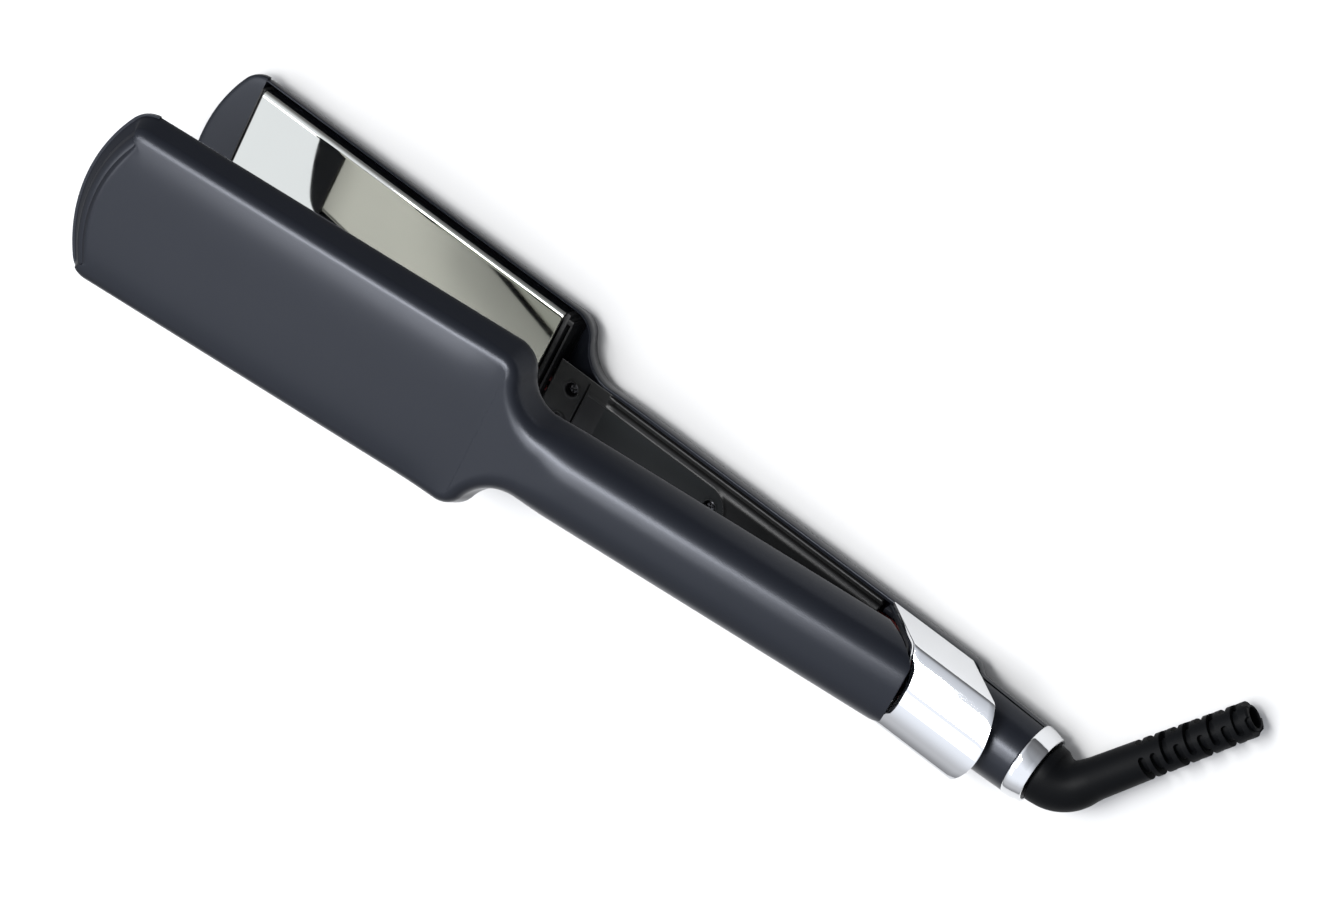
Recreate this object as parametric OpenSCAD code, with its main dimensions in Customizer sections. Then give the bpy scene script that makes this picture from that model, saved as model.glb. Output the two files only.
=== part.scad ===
// Hair straightener with two wide smooth plates.
// X runs from the tip to the tail, Y across the plates, Z up from the flat back of the lower arm.
// The origin is under the middle of the lower plate, on the face that the tool rests on.
// Both arms are drawn in one set of coordinates, with the outer face at z = 0. The upper arm is then
// mirrored about the closing plane and turned open about the hinge pin.

/* [Plates] */
// Length of each heating plate
plate_len = 120; // [95:1:150]
// Width of each heating plate over its rounded edges
plate_w = 51.5; // [40:0.5:62]
// Thickness of the plate sheet
plate_t = 1.2; // [0.8:0.1:1.6]
// Radius of the plate's long edges
plate_edge_r = 2; // [1.7:0.1:2.6]
// Gap that stays between the plates when the jaws are shut
plate_gap = 0.6; // [0.3:0.1:1.2]
// Gap between a plate's edge and the shell around it
plate_margin = 1.75; // [1.2:0.05:3]

/* [Arms] */
// Height of the closing plane above the lower arm's back
close_z = 13; // [12:0.5:16]
// Distance of each shell's rim from the closing plane
rim_drop = 2; // [1.5:0.1:3]
// Wall thickness of the shells
wall = 1.5; // [1.2:0.1:1.8]
// Inward lean of the head's side walls, from rim to outer face
head_lean = 3.7; // [2:0.1:5]
// Radius between the head's side walls and its outer face
head_edge_r = 4; // [2.5:0.1:5]
// How far the rounded corners of the tip stand ahead of the plate
nose_len = 9.93; // [9.5:0.01:16]
// Radius of the tip's curve in plan
tip_r = 51; // [45:1:70]
// Radius of the tip's corners
corner_r = 9; // [8:0.5:12]
// Radius of the outward curve of the neck
neck_out_r = 10; // [9:0.5:12]
// Radius of the inward curve of the neck
neck_in_r = 12; // [10:0.5:16]

/* [Grip] */
// Width of the grip
grip_w = 28; // [26:0.5:32]
// Length of the upper grip behind the neck
grip_len = 123; // [110:1:150]
// Height of the upper grip's crown over the head's outer face
grip_rise = 3; // [1:0.5:5]
// Gap between the liner and the shell's inner wall
liner_gap = 0.5; // [0.4:0.1:0.8]
// Thickness of the liner
liner_t = 1.8; // [1.4:0.1:2.2]
// Depth of the liner's flat face below the shell's rim
liner_drop = 1.5; // [1.2:0.1:1.8]
// Length of the recessed panel in the liner
panel_len = 49; // [45:1:60]
// Width of the recessed panel
panel_w = 16; // [14:0.5:17]
// Depth of the recessed panel
panel_depth = 3; // [2:0.1:3.2]

/* [Hinge] */
// Angle between the arms when open
open_angle = 11.6; // [8:0.1:14]
// Distance of the hinge pin behind the upper grip's end
hinge_back = 19; // [17:0.5:24]
// Radius of the hinge pin
pin_r = 2; // [1.5:0.1:2.5]
// Radial clearance of the pin in its bushes
pin_clearance = 0.05; // [0.02:0.01:0.1]
// Width of the upper arm's knuckle
knuckle_w = 12; // [10:0.5:13]
// Radius of the hinge lugs
lug_r = 5; // [4.5:0.1:5.5]

/* [Hinge cover] */
// Length of the cover along the tool
cover_len = 29; // [24:0.5:34]
// Wall thickness of the cover
cover_t = 1.3; // [1:0.1:1.5]
// Slope of the cover's ends, length per height
cover_slope = 1.1; // [0.9:0.05:1.2]
// Height of the cover's flat sides above the shell's rim
cover_side = 13.5; // [12:0.5:14]

/* [Tail] */
// Distance from the hinge pin to the tail's end
tail_len = 21.5; // [20:0.5:30]
// Radius of the tail behind the cover
tail_r = 12.2; // [11.8:0.1:12.6]
// Radius of the tail at its end
tail_end_r = 11.3; // [11:0.1:11.6]
// Length of the collar ring
collar_len = 6; // [5:0.5:9]

/* [Cord boot] */
// Bend of the boot
boot_bend = 57; // [40:1:80]
// Turn of the boot about the tail at rest, below level
boot_turn = -5; // [-8:1:8]
// Radius of the boot's bend
boot_bend_r = 10; // [9:0.5:14]
// Length of the straight leg
boot_leg = 55; // [50:1:64]
// Radius of the leg at the bend
boot_r = 5.9; // [5.6:0.1:6.6]
// Radius of the leg at its end
boot_end_r = 5.2; // [5:0.1:5.6]
// Radius of the bore for the cord
cord_r = 3.1; // [2.5:0.1:3.4]
// Number of slots on each side of the leg
slot_count = 5; // [4:1:6]

/* [Controls] */
// Travel of a button
button_travel = 0.4; // [0.3:0.05:0.5]
// Radius of the power button
power_r = 3.2; // [2.8:0.1:3.6]
// Radius of the plus and minus buttons
step_r = 2.7; // [2.4:0.1:3]

/* [Hidden] */
$fn = 64;

black = [0.13, 0.13, 0.15];
liner_black = [0.2, 0.2, 0.2];
holder_black = [0.09, 0.09, 0.1];
mirror_metal = [0.83, 0.84, 0.86];
steel = [0.62, 0.63, 0.65];
brass = [0.78, 0.62, 0.32];
ceramic = [0.9, 0.88, 0.82];
rubber = [0.07, 0.07, 0.07];
wire_red = [0.6, 0.14, 0.12];
board_green = [0.1, 0.32, 0.2];

face_gap = 0.3;                      // gap between faces of pieces that move past each other
head_hw = plate_w / 2 + plate_margin + wall;
grip_hw = grip_w / 2;
rim_z = close_z - rim_drop;
plate_z = close_z - plate_gap / 2;
plate_x1 = plate_len / 2;
plate_x0 = -plate_x1;
head_end_x = plate_x1 + 2;
neck_r = neck_out_r + neck_in_r;
neck_dy = neck_r - (head_hw - grip_hw);
neck_len = sqrt(neck_r * neck_r - neck_dy * neck_dy);
neck_a = acos(neck_dy / neck_r);
neck_end_x = head_end_x + neck_len;
arm_end_x = neck_end_x + grip_len;
hinge_x = arm_end_x + hinge_back;
hinge_z = close_z;
tail_x = hinge_x + tail_len;
tail_z = close_z - 0.2;

// The cover's front edge: where it lies at each height.
cover_x0 = hinge_x - 35;
function cover_x(z) = cover_x0 + cover_slope * (z - rim_z);

// Shell profiles: how far each level lies inside the outline, and how high.
levels = 7;
grip_power = 0.8;
grip_sweep = 80;
lean_a = atan(head_lean / rim_z);
edge_i = head_lean * (1 - head_edge_r / rim_z) + head_edge_r / cos(lean_a);
function mix(a, b, t) = a + (b - a) * t;
function clamp01(t) = max(0, min(1, t));
function smooth(t) = let (u = clamp01(t)) u * u * (3 - 2 * u);
function edge_a(j) = mix(lean_a, 90, (j - 1) / (levels - 1));
function head_profile(j) = j == 0 ? [0, rim_z]
    : [edge_i - head_edge_r * cos(edge_a(j)), head_edge_r * (1 - sin(edge_a(j)))];
function grip_a(j) = grip_sweep * j / levels;
function grip_profile(j, rise) =
    [grip_hw * (1 - pow(cos(grip_a(j)), grip_power)),
     rim_z - (rim_z + rise) * pow(sin(grip_a(j)) / sin(grip_sweep), grip_power)];
function tail_profile(j) = let (a = grip_sweep * j / levels)
    [tail_r * (1 - cos(a)), tail_z - tail_r * sin(a)];
function grip_blend(x) = smooth((x - head_end_x - 6) / (neck_len + 6));
tail_start = cover_x0 + cover_len;
function tail_blend(x) = smooth((x - tail_start) / 5);
function profile(x, j, rise) =
    mix(mix(head_profile(j), grip_profile(j, rise), grip_blend(x)), tail_profile(j), tail_blend(x));

// Plan outline of an arm from the middle of its tip to its end, on the +Y side: [x, y, normal x, normal y].
corner_c = [plate_x0 + corner_r - nose_len, head_hw - corner_r];
tip_c = corner_c[0] + sqrt(pow(tip_r - corner_r, 2) - pow(corner_c[1], 2));
tip_x = tip_c - tip_r;
tip_a = atan2(corner_c[1], corner_c[0] - tip_c);
function arc(c, r, a0, a1, n, first = 0, side = 1) =
    [for (i = [first:n]) let (a = mix(a0, a1, i / n))
        [c[0] + r * cos(a), c[1] + r * sin(a), side * cos(a), side * sin(a)]];
function grip_points(xs) =
    [for (x = xs) [x, mix(grip_hw, mix(tail_r, tail_end_r, (x - tail_start - 5) / (tail_x - tail_start - 5)),
        tail_blend(x)), 0, 1]];
function half_outline(xs) = concat(
    arc([tip_c, 0], tip_r, 180, tip_a, 6),
    arc(corner_c, corner_r, tip_a, 90, 6, 1),
    arc([head_end_x, head_hw - neck_out_r], neck_out_r, 90, 90 - neck_a, 7),
    arc([neck_end_x, grip_hw + neck_in_r], neck_in_r, 270 - neck_a, 270, 7, 1, -1),
    grip_points(xs));
function flip(q) = [q[0], -q[1], q[2], -q[3]];
function whole_outline(xs) = let (h = half_outline(xs), n = len(h) - 1)
    concat([for (i = [n:-1:1]) flip(h[i])], h);

grip_steps = [neck_end_x + 5, neck_end_x + 12];
tail_steps = [for (i = [0:5]) tail_start + i];
lower_xs = concat(grip_steps, [cover_x0], tail_steps, [tail_x]);
upper_xs = concat(grip_steps, [arm_end_x]);

// The upper arm's end leans back with height, clear of the cover when the jaws are shut.
end_gap = 1.1;
end_round = 0.03;
function arm_end(z) = let (up = 2 * close_z - z)
    min(cover_x(up) - end_gap, arm_end_x - end_round * pow(max(0, 2 * close_z + grip_rise - up), 2));

// One point of a shell: outline point q, level j, pushed in by the wall if it is on the inner side.
function shell_point(q, j, inner, rise, cut) = let (
    p = profile(q[0], j, rise),
    i = p[0] + (inner ? wall : 0),
    low = profile(q[0], levels, rise)[1],
    top = profile(q[0], 0, rise)[1],
    z = inner ? mix(low + wall, top, (p[1] - low) / (top - low)) : p[1])
    [cut && q[0] >= arm_end_x ? arm_end(z) : q[0] - q[2] * i,
        q[0] > neck_end_x ? q[3] * max(0.3, abs(q[1]) - i) : q[1] - q[3] * i, z];

// A trough-shaped shell, closed round the tip and open at its end.
module shell_wall(xs, rise, cut) {
    chain = whole_outline(xs);
    n = len(chain);
    m = 2 * (levels + 1);
    points = [for (q = chain) each concat(
        [for (j = [0:levels]) shell_point(q, j, false, rise, cut)],
        [for (j = [levels:-1:0]) shell_point(q, j, true, rise, cut)])];
    function id(c, j) = c * m + j;
    function quad(a, b, c, d) = [[a, b, c], [a, c, d]];
    walls = [for (c = [0:n - 2], j = [0:m - 1]) if (j != levels)
        each quad(id(c, j), id(c, (j + 1) % m), id(c + 1, (j + 1) % m), id(c + 1, j))];
    half = (n - 1) / 2;
    floors = [for (c = [0:half - 1]) each concat(
        quad(id(c, levels), id(n - 1 - c, levels), id(n - 2 - c, levels), id(c + 1, levels)),
        quad(id(c, levels + 1), id(c + 1, levels + 1), id(n - 2 - c, levels + 1), id(n - 1 - c, levels + 1)))];
    solid_floors = [for (f = floors) if (f[0] != f[1] && f[1] != f[2] && f[0] != f[2]) f];
    ends = [for (j = [0:levels - 1]) each concat(
        quad(id(0, j), id(0, m - 1 - j), id(0, m - 2 - j), id(0, j + 1)),
        quad(id(n - 1, j), id(n - 1, j + 1), id(n - 1, m - 2 - j), id(n - 1, m - 1 - j)))];
    bottom_end = quad(id(0, levels), id(0, levels + 1), id(n - 1, levels + 1), id(n - 1, levels));
    polyhedron(points, concat(walls, solid_floors, ends, bottom_end));
}

// Shared places inside an arm.
floor_z = wall;
rail_hw = plate_w / 2 - plate_t - 0.15;
rail_t = 1.6;
floor_hw = head_hw - edge_i - wall - 0.4;
holder_t = 1.6;
seat_z = plate_z - plate_t;
strip_t = 1.2;
strip_x = plate_x0 - 0.2 - strip_t;
deck_x = strip_x - 0.2;
heater_t = 2;
heater_hw = 10;
heater_len = plate_len - 20;
liner_z = rim_z - liner_drop;
liner_hw = grip_hw - wall - liner_gap;
liner_x0 = head_end_x + 2.6;
liner_x1 = cover_x0 - 3.5;
panel_x0 = neck_end_x;
panel_x1 = panel_x0 + panel_len;
panel_z = liner_z - panel_depth;
ramp_len = 6;
screw_r = 1.1;
head_r = 1.85;
boss_r = 2.3;
neck_screw_x = neck_end_x - 11;
neck_screw_y = 5.5;
panel_screw_x = panel_x1 - 6;
arm_screw_x = cover_x0 - 26;
pad_z = liner_z - 3.3;
panel_pad_z = panel_z - 3.3;
arm_bar_z0 = 4.5;
arm_bar_z1 = liner_z - liner_t - 0.2;
board_z = floor_z - 1.1;
frame_z = floor_z + 2;
frame_x0 = hinge_x - 22;
frame_len = 11;
frame_t = 2;
frame_base_t = 1.5;
ear_y = knuckle_w / 2 + face_gap;
ring_r = 5.9;
ring_seat_r = 4.4;
ring_t = 1.6;
bush_x0 = tail_x - 8;
ring_x0 = bush_x0 - 7.2;
ring_pitch = 2.8;
brush_hw = 1.5;
brush_z = tail_z - tail_end_r + wall + 0.4;
board_t = 1.6;

// Turns a piece drawn like the lower arm into its place on the opened upper arm.
module upper() {
    translate([hinge_x, 0, hinge_z]) rotate([0, open_angle, 0])
        translate([-hinge_x, 0, 2 * close_z - hinge_z]) mirror([0, 0, 1]) children();
}

// A bar with the outline given across the tool, from x0 to x1.
module across(x0, x1) {
    translate([x0, 0, 0]) rotate([90, 0, 90]) linear_extrude(x1 - x0) children();
}

// A bar with the outline given along the tool, from y0 to y1.
module along(y0, y1) {
    translate([0, y1, 0]) rotate([90, 0, 0]) linear_extrude(y1 - y0) children();
}

// A rod along X.
module rod(x0, x1, r, r2 = 0) {
    translate([x0, 0, 0]) rotate([0, 90, 0]) cylinder(h = x1 - x0, r1 = r, r2 = r2 > 0 ? r2 : r);
}

// An unbroken tube through a list of points.
module swept(path, r, sides) {
    n = len(path);
    function heading(i) = let (d = path[min(n - 1, i + 1)] - path[max(0, i - 1)]) d / norm(d);
    function ring(i) = let (t = heading(i), u = cross(t, [0, 1, 0]), a = u / norm(u), b = cross(t, a))
        [for (k = [0:sides - 1]) path[i] + r * (cos(360 * k / sides) * a + sin(360 * k / sides) * b)];
    points = [for (i = [0:n - 1]) each ring(i)];
    tube = [for (i = [0:n - 2], k = [0:sides - 1]) let (l = (k + 1) % sides)
        each [[i * sides + k, (i + 1) * sides + k, (i + 1) * sides + l],
            [i * sides + k, (i + 1) * sides + l, i * sides + l]]];
    polyhedron(points, concat(tube, [[for (k = [0:sides - 1]) k]],
        [[for (k = [sides - 1:-1:0]) (n - 1) * sides + k]]));
}

function plan_points(xs, inset) = [for (q = whole_outline(xs)) [q[0] - q[2] * inset, q[1] - q[3] * inset]];

// The closed deck of the shell in front of the plate.
deck_t = 1.8;
module nose_deck(xs) {
    translate([0, 0, rim_z - deck_t]) linear_extrude(deck_t) intersection() {
        polygon(plan_points(xs, wall / 2));
        translate([tip_x, -head_hw]) square([deck_x - tip_x, 2 * head_hw]);
    }
}

// A hollow post that a screw cuts into.
module boss(x, y, z0, z1) {
    translate([x, y, z0]) difference() {
        cylinder(h = z1 - z0, r = boss_r);
        translate([0, 0, 0.5]) cylinder(h = z1 - z0, r = screw_r + 0.05);
    }
}

// Lowest point of a shell's floor under a post at x, where the neck slopes.
function low_floor(x, xs, rise) = wall + min([for (q = half_outline(xs)) let (p = profile(q[0], levels, rise))
    if (abs(q[0] - q[2] * (p[0] + wall) - x) < boss_r + 1) p[1]]);

module shell(xs, rise, cut) {
    shell_wall(xs, rise, cut);
    nose_deck(xs);
    for (s = [-1, 1]) boss(neck_screw_x, s * neck_screw_y, low_floor(neck_screw_x, xs, rise) - 0.2, pad_z);
    boss(panel_screw_x, 0, floor_z - rise - 0.3, panel_pad_z);
}

module lower_shell() {
    color(black) {
        shell(lower_xs, 0, false);
        across(frame_x0 - 0.5, frame_x0 + frame_len + 0.5)
            polygon([[-8.5, frame_z], [8.5, frame_z], [8.5, 2.2], [5, 0.9], [-5, 0.9], [-8.5, 2.2]]);
        for (s = [-1, 1]) translate([frame_x0 + 5, s * 6, frame_z - 0.3]) cylinder(h = 2.4, r = 1.4);
        across(ring_x0 - 0.5, ring_x0 + ring_pitch + ring_t + 0.5)
            polygon([[-2.3, brush_z], [2.3, brush_z], [2.3, brush_z - 2.1], [-2.3, brush_z - 2.1]]);
    }
}

module upper_shell() {
    color(black) upper() {
        shell(upper_xs, grip_rise, true);
        boss(arm_screw_x, 0, floor_z - grip_rise - 0.3, arm_bar_z0 - 0.1);
        for (x = [board_x0 + 14, board_x1 - 4]) translate([x, -4, floor_z - grip_rise - 0.3])
            cube([1.5, 8, board_z - floor_z + grip_rise + 0.3]);
    }
}

// Grip liner with its recessed panel, edge ribs and screw seats.
rib_t = 1;
rib_drop = 0.2;
tub_t = 1.5;
module panel_outline(grow) {
    translate([panel_x1 - panel_w / 2, 0]) circle(r = panel_w / 2 + grow);
}
module panel_cut() {
    along(-panel_w / 2, panel_w / 2) polygon([[panel_x0 - ramp_len, liner_z], [panel_x0, panel_z],
        [panel_x1 - panel_w / 2, panel_z], [panel_x1 - panel_w / 2, rim_z], [panel_x0 - ramp_len, rim_z]]);
    translate([0, 0, panel_z]) linear_extrude(rim_z - panel_z) panel_outline(0);
}
module panel_tub() {
    low = panel_z - liner_t;
    side = panel_w / 2 + tub_t;
    along(-side, side) polygon([[panel_x0 - ramp_len - 1, liner_z - liner_t], [panel_x0 - 1, low],
        [panel_x1 - panel_w / 2, low], [panel_x1 - panel_w / 2, liner_z - 0.5],
        [panel_x0 - ramp_len - 1, liner_z - 0.5]]);
    translate([0, 0, low]) linear_extrude(liner_z - 0.5 - low) panel_outline(tub_t);
}
module screw_seat(x, y, face, low) {
    translate([x, y, low]) cylinder(h = face - 0.5 - low, r = boss_r + 0.9);
}
module screw_cut(x, y, face, low) {
    translate([x, y, low + 1]) cylinder(h = face - low, r = head_r + 0.15);
    translate([x, y, low - 1]) cylinder(h = 4, r = screw_r + 0.1);
}
module liner() {
    difference() {
        union() {
            across(liner_x0, liner_x1) {
                polygon([[-liner_hw, liner_z - 0.1], [liner_hw, liner_z - 0.1], [liner_hw - 0.9, liner_z - liner_t],
                    [0.9 - liner_hw, liner_z - liner_t]]);
                translate([-liner_hw, liner_z - 0.1]) square([2 * liner_hw, 0.1]);
                for (s = [0, 1]) mirror([s, 0])
                    translate([liner_hw - rib_t, liner_z - 0.1]) square([rib_t, 0.1 + liner_drop - rib_drop]);
            }
            panel_tub();
            for (s = [-1, 1]) screw_seat(neck_screw_x, s * neck_screw_y, liner_z, pad_z);
            screw_seat(panel_screw_x, 0, panel_z, panel_pad_z);
        }
        panel_cut();
        for (s = [-1, 1]) screw_cut(neck_screw_x, s * neck_screw_y, liner_z, pad_z);
        screw_cut(panel_screw_x, 0, panel_z, panel_pad_z);
    }
}

module lower_liner() {
    color(liner_black) liner();
}

// Pan-head screw whose head stands on the seat at z.
screw_head_t = 1.3;
module screw(x, y, z, length) {
    translate([x, y, z]) {
        difference() {
            cylinder(h = screw_head_t, r = head_r);
            for (a = [0, 90]) rotate(a) translate([-1.2, -0.25, screw_head_t - 0.6]) cube([2.4, 0.5, 1]);
        }
        translate([0, 0, -length]) cylinder(h = length + 0.1, r = screw_r);
    }
}
module arm_screws() {
    for (s = [-1, 1]) screw(neck_screw_x, s * neck_screw_y, pad_z + 1, 4.5);
    screw(panel_screw_x, 0, panel_pad_z + 1, 2.2);
}
module lower_screws() {
    color(steel) arm_screws();
}
module upper_screws() {
    color(steel) upper() {
        arm_screws();
        screw(arm_screw_x, 0, liner_z - screw_head_t, liner_z - screw_head_t - arm_bar_z0 + 3.5);
    }
}

// Tray that carries the plate and keeps its heat off the shell.
module tray_section(top, side) {
    polygon([[-floor_hw, floor_z], [floor_hw, floor_z], [rail_hw, floor_z + 2.4], [side, floor_z + 5],
        [side, top], [-side, top], [-side, floor_z + 5], [-rail_hw, floor_z + 2.4]]);
}
end_top = seat_z;
end_t = 1.6;
back_rib_x = plate_x1 + 2.8;
back_rib_t = 0.8;
tray_side = plate_w / 2;
lead_notch_hw = 7;
module plate_holder() {
    difference() {
        union() {
            across(strip_x, back_rib_x + back_rib_t) difference() {
                tray_section(seat_z, rail_hw);
                for (s = [0, 1]) mirror([s, 0])
                    polygon([[rail_hw - 0.9, seat_z + 0.1], [rail_hw + 0.1, seat_z + 0.1], [rail_hw + 0.1, seat_z - 0.9]]);
                translate([-rail_hw + rail_t, floor_z + holder_t + 1.2]) square([2 * (rail_hw - rail_t), seat_z]);
                translate([-floor_hw + 1, floor_z + holder_t]) square([2 * (floor_hw - 1), seat_z]);
            }
            across(strip_x, strip_x + strip_t) tray_section(plate_z - 0.5, tray_side);
            across(plate_x1 + 0.2, plate_x1 + 0.2 + end_t) tray_section(end_top, tray_side);
            across(back_rib_x, back_rib_x + back_rib_t) tray_section(rim_z, rail_hw);
        }
        translate([plate_x1, -lead_notch_hw, floor_z + holder_t])
            cube([back_rib_x + back_rib_t - plate_x1 + 1, 2 * lead_notch_hw, 5]);
        translate([plate_x1 + 0.2 + end_t, -tray_side - 1, floor_z + holder_t])
            cube([back_rib_x - plate_x1 - 0.2 - end_t, 2 * tray_side + 2, rim_z]);
    }
}
module lower_plate_holder() {
    color(holder_black) plate_holder();
}
module upper_plate_holder() {
    color(holder_black) upper() plate_holder();
}

// Polished plate: a sheet with rounded long edges and folded sides.
plate_side = 5;
module plate_section(half, top, r) {
    translate([-half, plate_z - plate_side]) square([2 * half, top - r - plate_z + plate_side]);
    translate([-half + r, plate_z - plate_side]) square([2 * (half - r), top - plate_z + plate_side]);
    for (s = [-1, 1]) translate([s * (half - r), top - r]) circle(r = r);
}
module plate() {
    across(plate_x0, plate_x1) difference() {
        plate_section(plate_w / 2, plate_z, plate_edge_r);
        translate([0, -0.01]) plate_section(plate_w / 2 - plate_t, plate_z - plate_t + 0.01, plate_edge_r - plate_t);
    }
}
module lower_plate() {
    color(mirror_metal) plate();
}
module upper_plate() {
    color(mirror_metal) upper() plate();
}

// Ceramic heater bonded under the plate, pressed up by a bowed spring strip.
heater_z = seat_z - heater_t;
module heater() {
    translate([-heater_len / 2, -heater_hw, heater_z]) cube([heater_len, 2 * heater_hw, heater_t]);
    for (s = [-1, 1]) translate([heater_len / 2 - 0.5, s * 4 - 1, heater_z + 0.6]) cube([3.5, 2, 0.8]);
}
module lower_heater() {
    color(ceramic) heater();
}
module upper_heater() {
    color(ceramic) upper() heater();
}
spring_t = 0.6;
spring_hw = 7;
wave_count = 3;
module heater_spring() {
    low = floor_z + holder_t;
    high = heater_z - spring_t;
    pitch = (heater_len - 10) / wave_count;
    flat = pitch / 4;
    line = [for (i = [0:wave_count - 1], k = [[0, low], [flat, low], [2 * flat, high], [3 * flat, high]])
        [-heater_len / 2 + 5 + i * pitch + k[0], k[1]]];
    last = [[heater_len / 2 - 5, low], [heater_len / 2 - 5 + flat, low]];
    centre = concat(line, last);
    along(-spring_hw, spring_hw) polygon(concat(centre,
        [for (i = [len(centre) - 1:-1:0]) centre[i] + [0, spring_t]]));
}
module lower_heater_spring() {
    color(steel) heater_spring();
}
module upper_heater_spring() {
    color(steel) upper() heater_spring();
}

// Heat sensor of the lower plate and heat cut-out of the upper one, both against the plate.
sensor_y = 16;
module capsule(x0, length, r) {
    translate([0, sensor_y, seat_z - r]) {
        rod(x0, x0 + length, r);
        rod(x0 - 2, x0 + length + 2, r / 3);
    }
}
module lower_thermistor() {
    color(brass) capsule(20, 10, 1.2);
}
module thermal_fuse() {
    color(brass) upper() capsule(14, 14, 1.7);
}

// Leads, kept clear of the screw posts.
lead_r = 0.8;
lead_y = 1.7;
lead_wide_y = boss_r + 0.9 + lead_r + 0.1;
lead_frame_y = 3.6;
lead_z = floor_z + lead_r + 0.9;
heater_end_x = heater_len / 2 + 3;
tray_lead_z = floor_z + holder_t + 1.4;
lead_up_z = frame_z + frame_base_t + lead_r + 0.1;
module lower_leads() {
    color(wire_red) for (s = [-1, 1]) swept([[heater_end_x, s * lead_y, tray_lead_z],
        [back_rib_x + back_rib_t, s * lead_y, tray_lead_z], [neck_screw_x, s * lead_y, lead_z],
        [panel_x0 + 5, s * lead_y, lead_z], [panel_x0 + 13, s * lead_wide_y, lead_z],
        [frame_x0 - 7, s * lead_wide_y, lead_z], [frame_x0 - 2, s * lead_frame_y, lead_up_z],
        [hinge_x, s * lead_frame_y, lead_up_z], [ring_x0 + 1, s * (brush_hw + lead_r + 0.02), lead_up_z - 0.6]],
        lead_r, 10);
}
upper_lead_z = floor_z - grip_rise + 2.1;
module upper_leads() {
    color(wire_red) upper() for (s = [-1, 1]) {
        swept([[heater_end_x, s * lead_y, tray_lead_z], [back_rib_x + back_rib_t, s * lead_y, tray_lead_z],
            [neck_screw_x + 2, s * lead_y, lead_z + 0.5], [board_x0 - 0.2, s * lead_y, board_z + lead_r]], lead_r, 10);
        swept([[board_x1 + 0.2, s * 5, board_z + lead_r], [panel_screw_x + 20, s * 5, upper_lead_z],
            [arm_end_x - 8, s * 5, upper_lead_z]], lead_r, 10);
    }
}

// Steel frame of the hinge: a base on the shell's floor and two ears for the pin.
module hinge_frame() {
    color(steel) difference() {
        union() {
            translate([frame_x0, -ear_y - frame_t, frame_z]) cube([frame_len, 2 * (ear_y + frame_t), frame_base_t]);
            for (s = [-1, 1]) along(s > 0 ? ear_y : -ear_y - frame_t, s > 0 ? ear_y + frame_t : -ear_y) {
                polygon([[frame_x0, frame_z], [frame_x0 + frame_len, frame_z],
                    [frame_x0 + frame_len + 3, hinge_z - lug_r], [hinge_x, hinge_z - lug_r],
                    [hinge_x, hinge_z + lug_r], [frame_x0 + frame_len - 2, hinge_z - 3], [frame_x0, frame_z + 4]]);
                translate([hinge_x, hinge_z]) circle(r = lug_r);
            }
        }
        translate([hinge_x, 0, hinge_z]) rotate([90, 0, 0]) cylinder(h = 4 * ear_y, r = pin_r, center = true);
        for (s = [-1, 1]) translate([frame_x0 + 5, s * 6, frame_z - 1]) cylinder(h = 4, r = 1.45);
    }
}
module hinge_pin() {
    pin_hw = ear_y + frame_t + 0.5;
    color(steel) translate([hinge_x, 0, hinge_z]) rotate([90, 0, 0]) {
        cylinder(h = 2 * pin_hw, r = pin_r, center = true);
        for (s = [-1, 1]) translate([0, 0, s * pin_hw - (s > 0 ? 0.4 : 0)]) cylinder(h = 0.4, r = pin_r + 0.6);
    }
}

// Steel arm of the upper body: a flat bar under its liner and a forked knuckle on the pin.
bush_t = 1;
fork_hw = 3.1;
module hinge_arm() {
    color(steel) upper() difference() {
        union() {
            along(-knuckle_w / 2, knuckle_w / 2) {
                polygon([[arm_screw_x - 6, arm_bar_z0], [hinge_x - 28, arm_bar_z0], [hinge_x, hinge_z - lug_r],
                    [hinge_x, hinge_z + lug_r], [hinge_x - 5, hinge_z + 1.5], [liner_x1 + 6, arm_bar_z1],
                    [arm_screw_x - 6, arm_bar_z1]]);
                translate([hinge_x, hinge_z]) circle(r = lug_r);
            }
        }
        translate([hinge_x - 7.5, -fork_hw, 0]) cube([15, 2 * fork_hw, 30]);
        translate([hinge_x - leg_back - 3, -fork_hw, 2 * close_z - hinge_z - roof_up]) cube([leg_back, 2 * fork_hw, 30]);
        translate([hinge_x, 0, hinge_z]) rotate([90, 0, 0])
            cylinder(h = 2 * knuckle_w, r = pin_r + bush_t, center = true);
        translate([arm_screw_x, 0, 0]) cylinder(h = 20, r = screw_r + 0.2);
    }
}
module hinge_bushes() {
    bush_len = knuckle_w / 2 - fork_hw;
    color(brass) for (s = [-1, 1]) translate([hinge_x, s * (fork_hw + bush_len / 2), hinge_z]) rotate([90, 0, 0])
        difference() {
            cylinder(h = bush_len, r = pin_r + bush_t, center = true);
            cylinder(h = bush_len + 1, r = pin_r + pin_clearance, center = true);
        }
}

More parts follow.
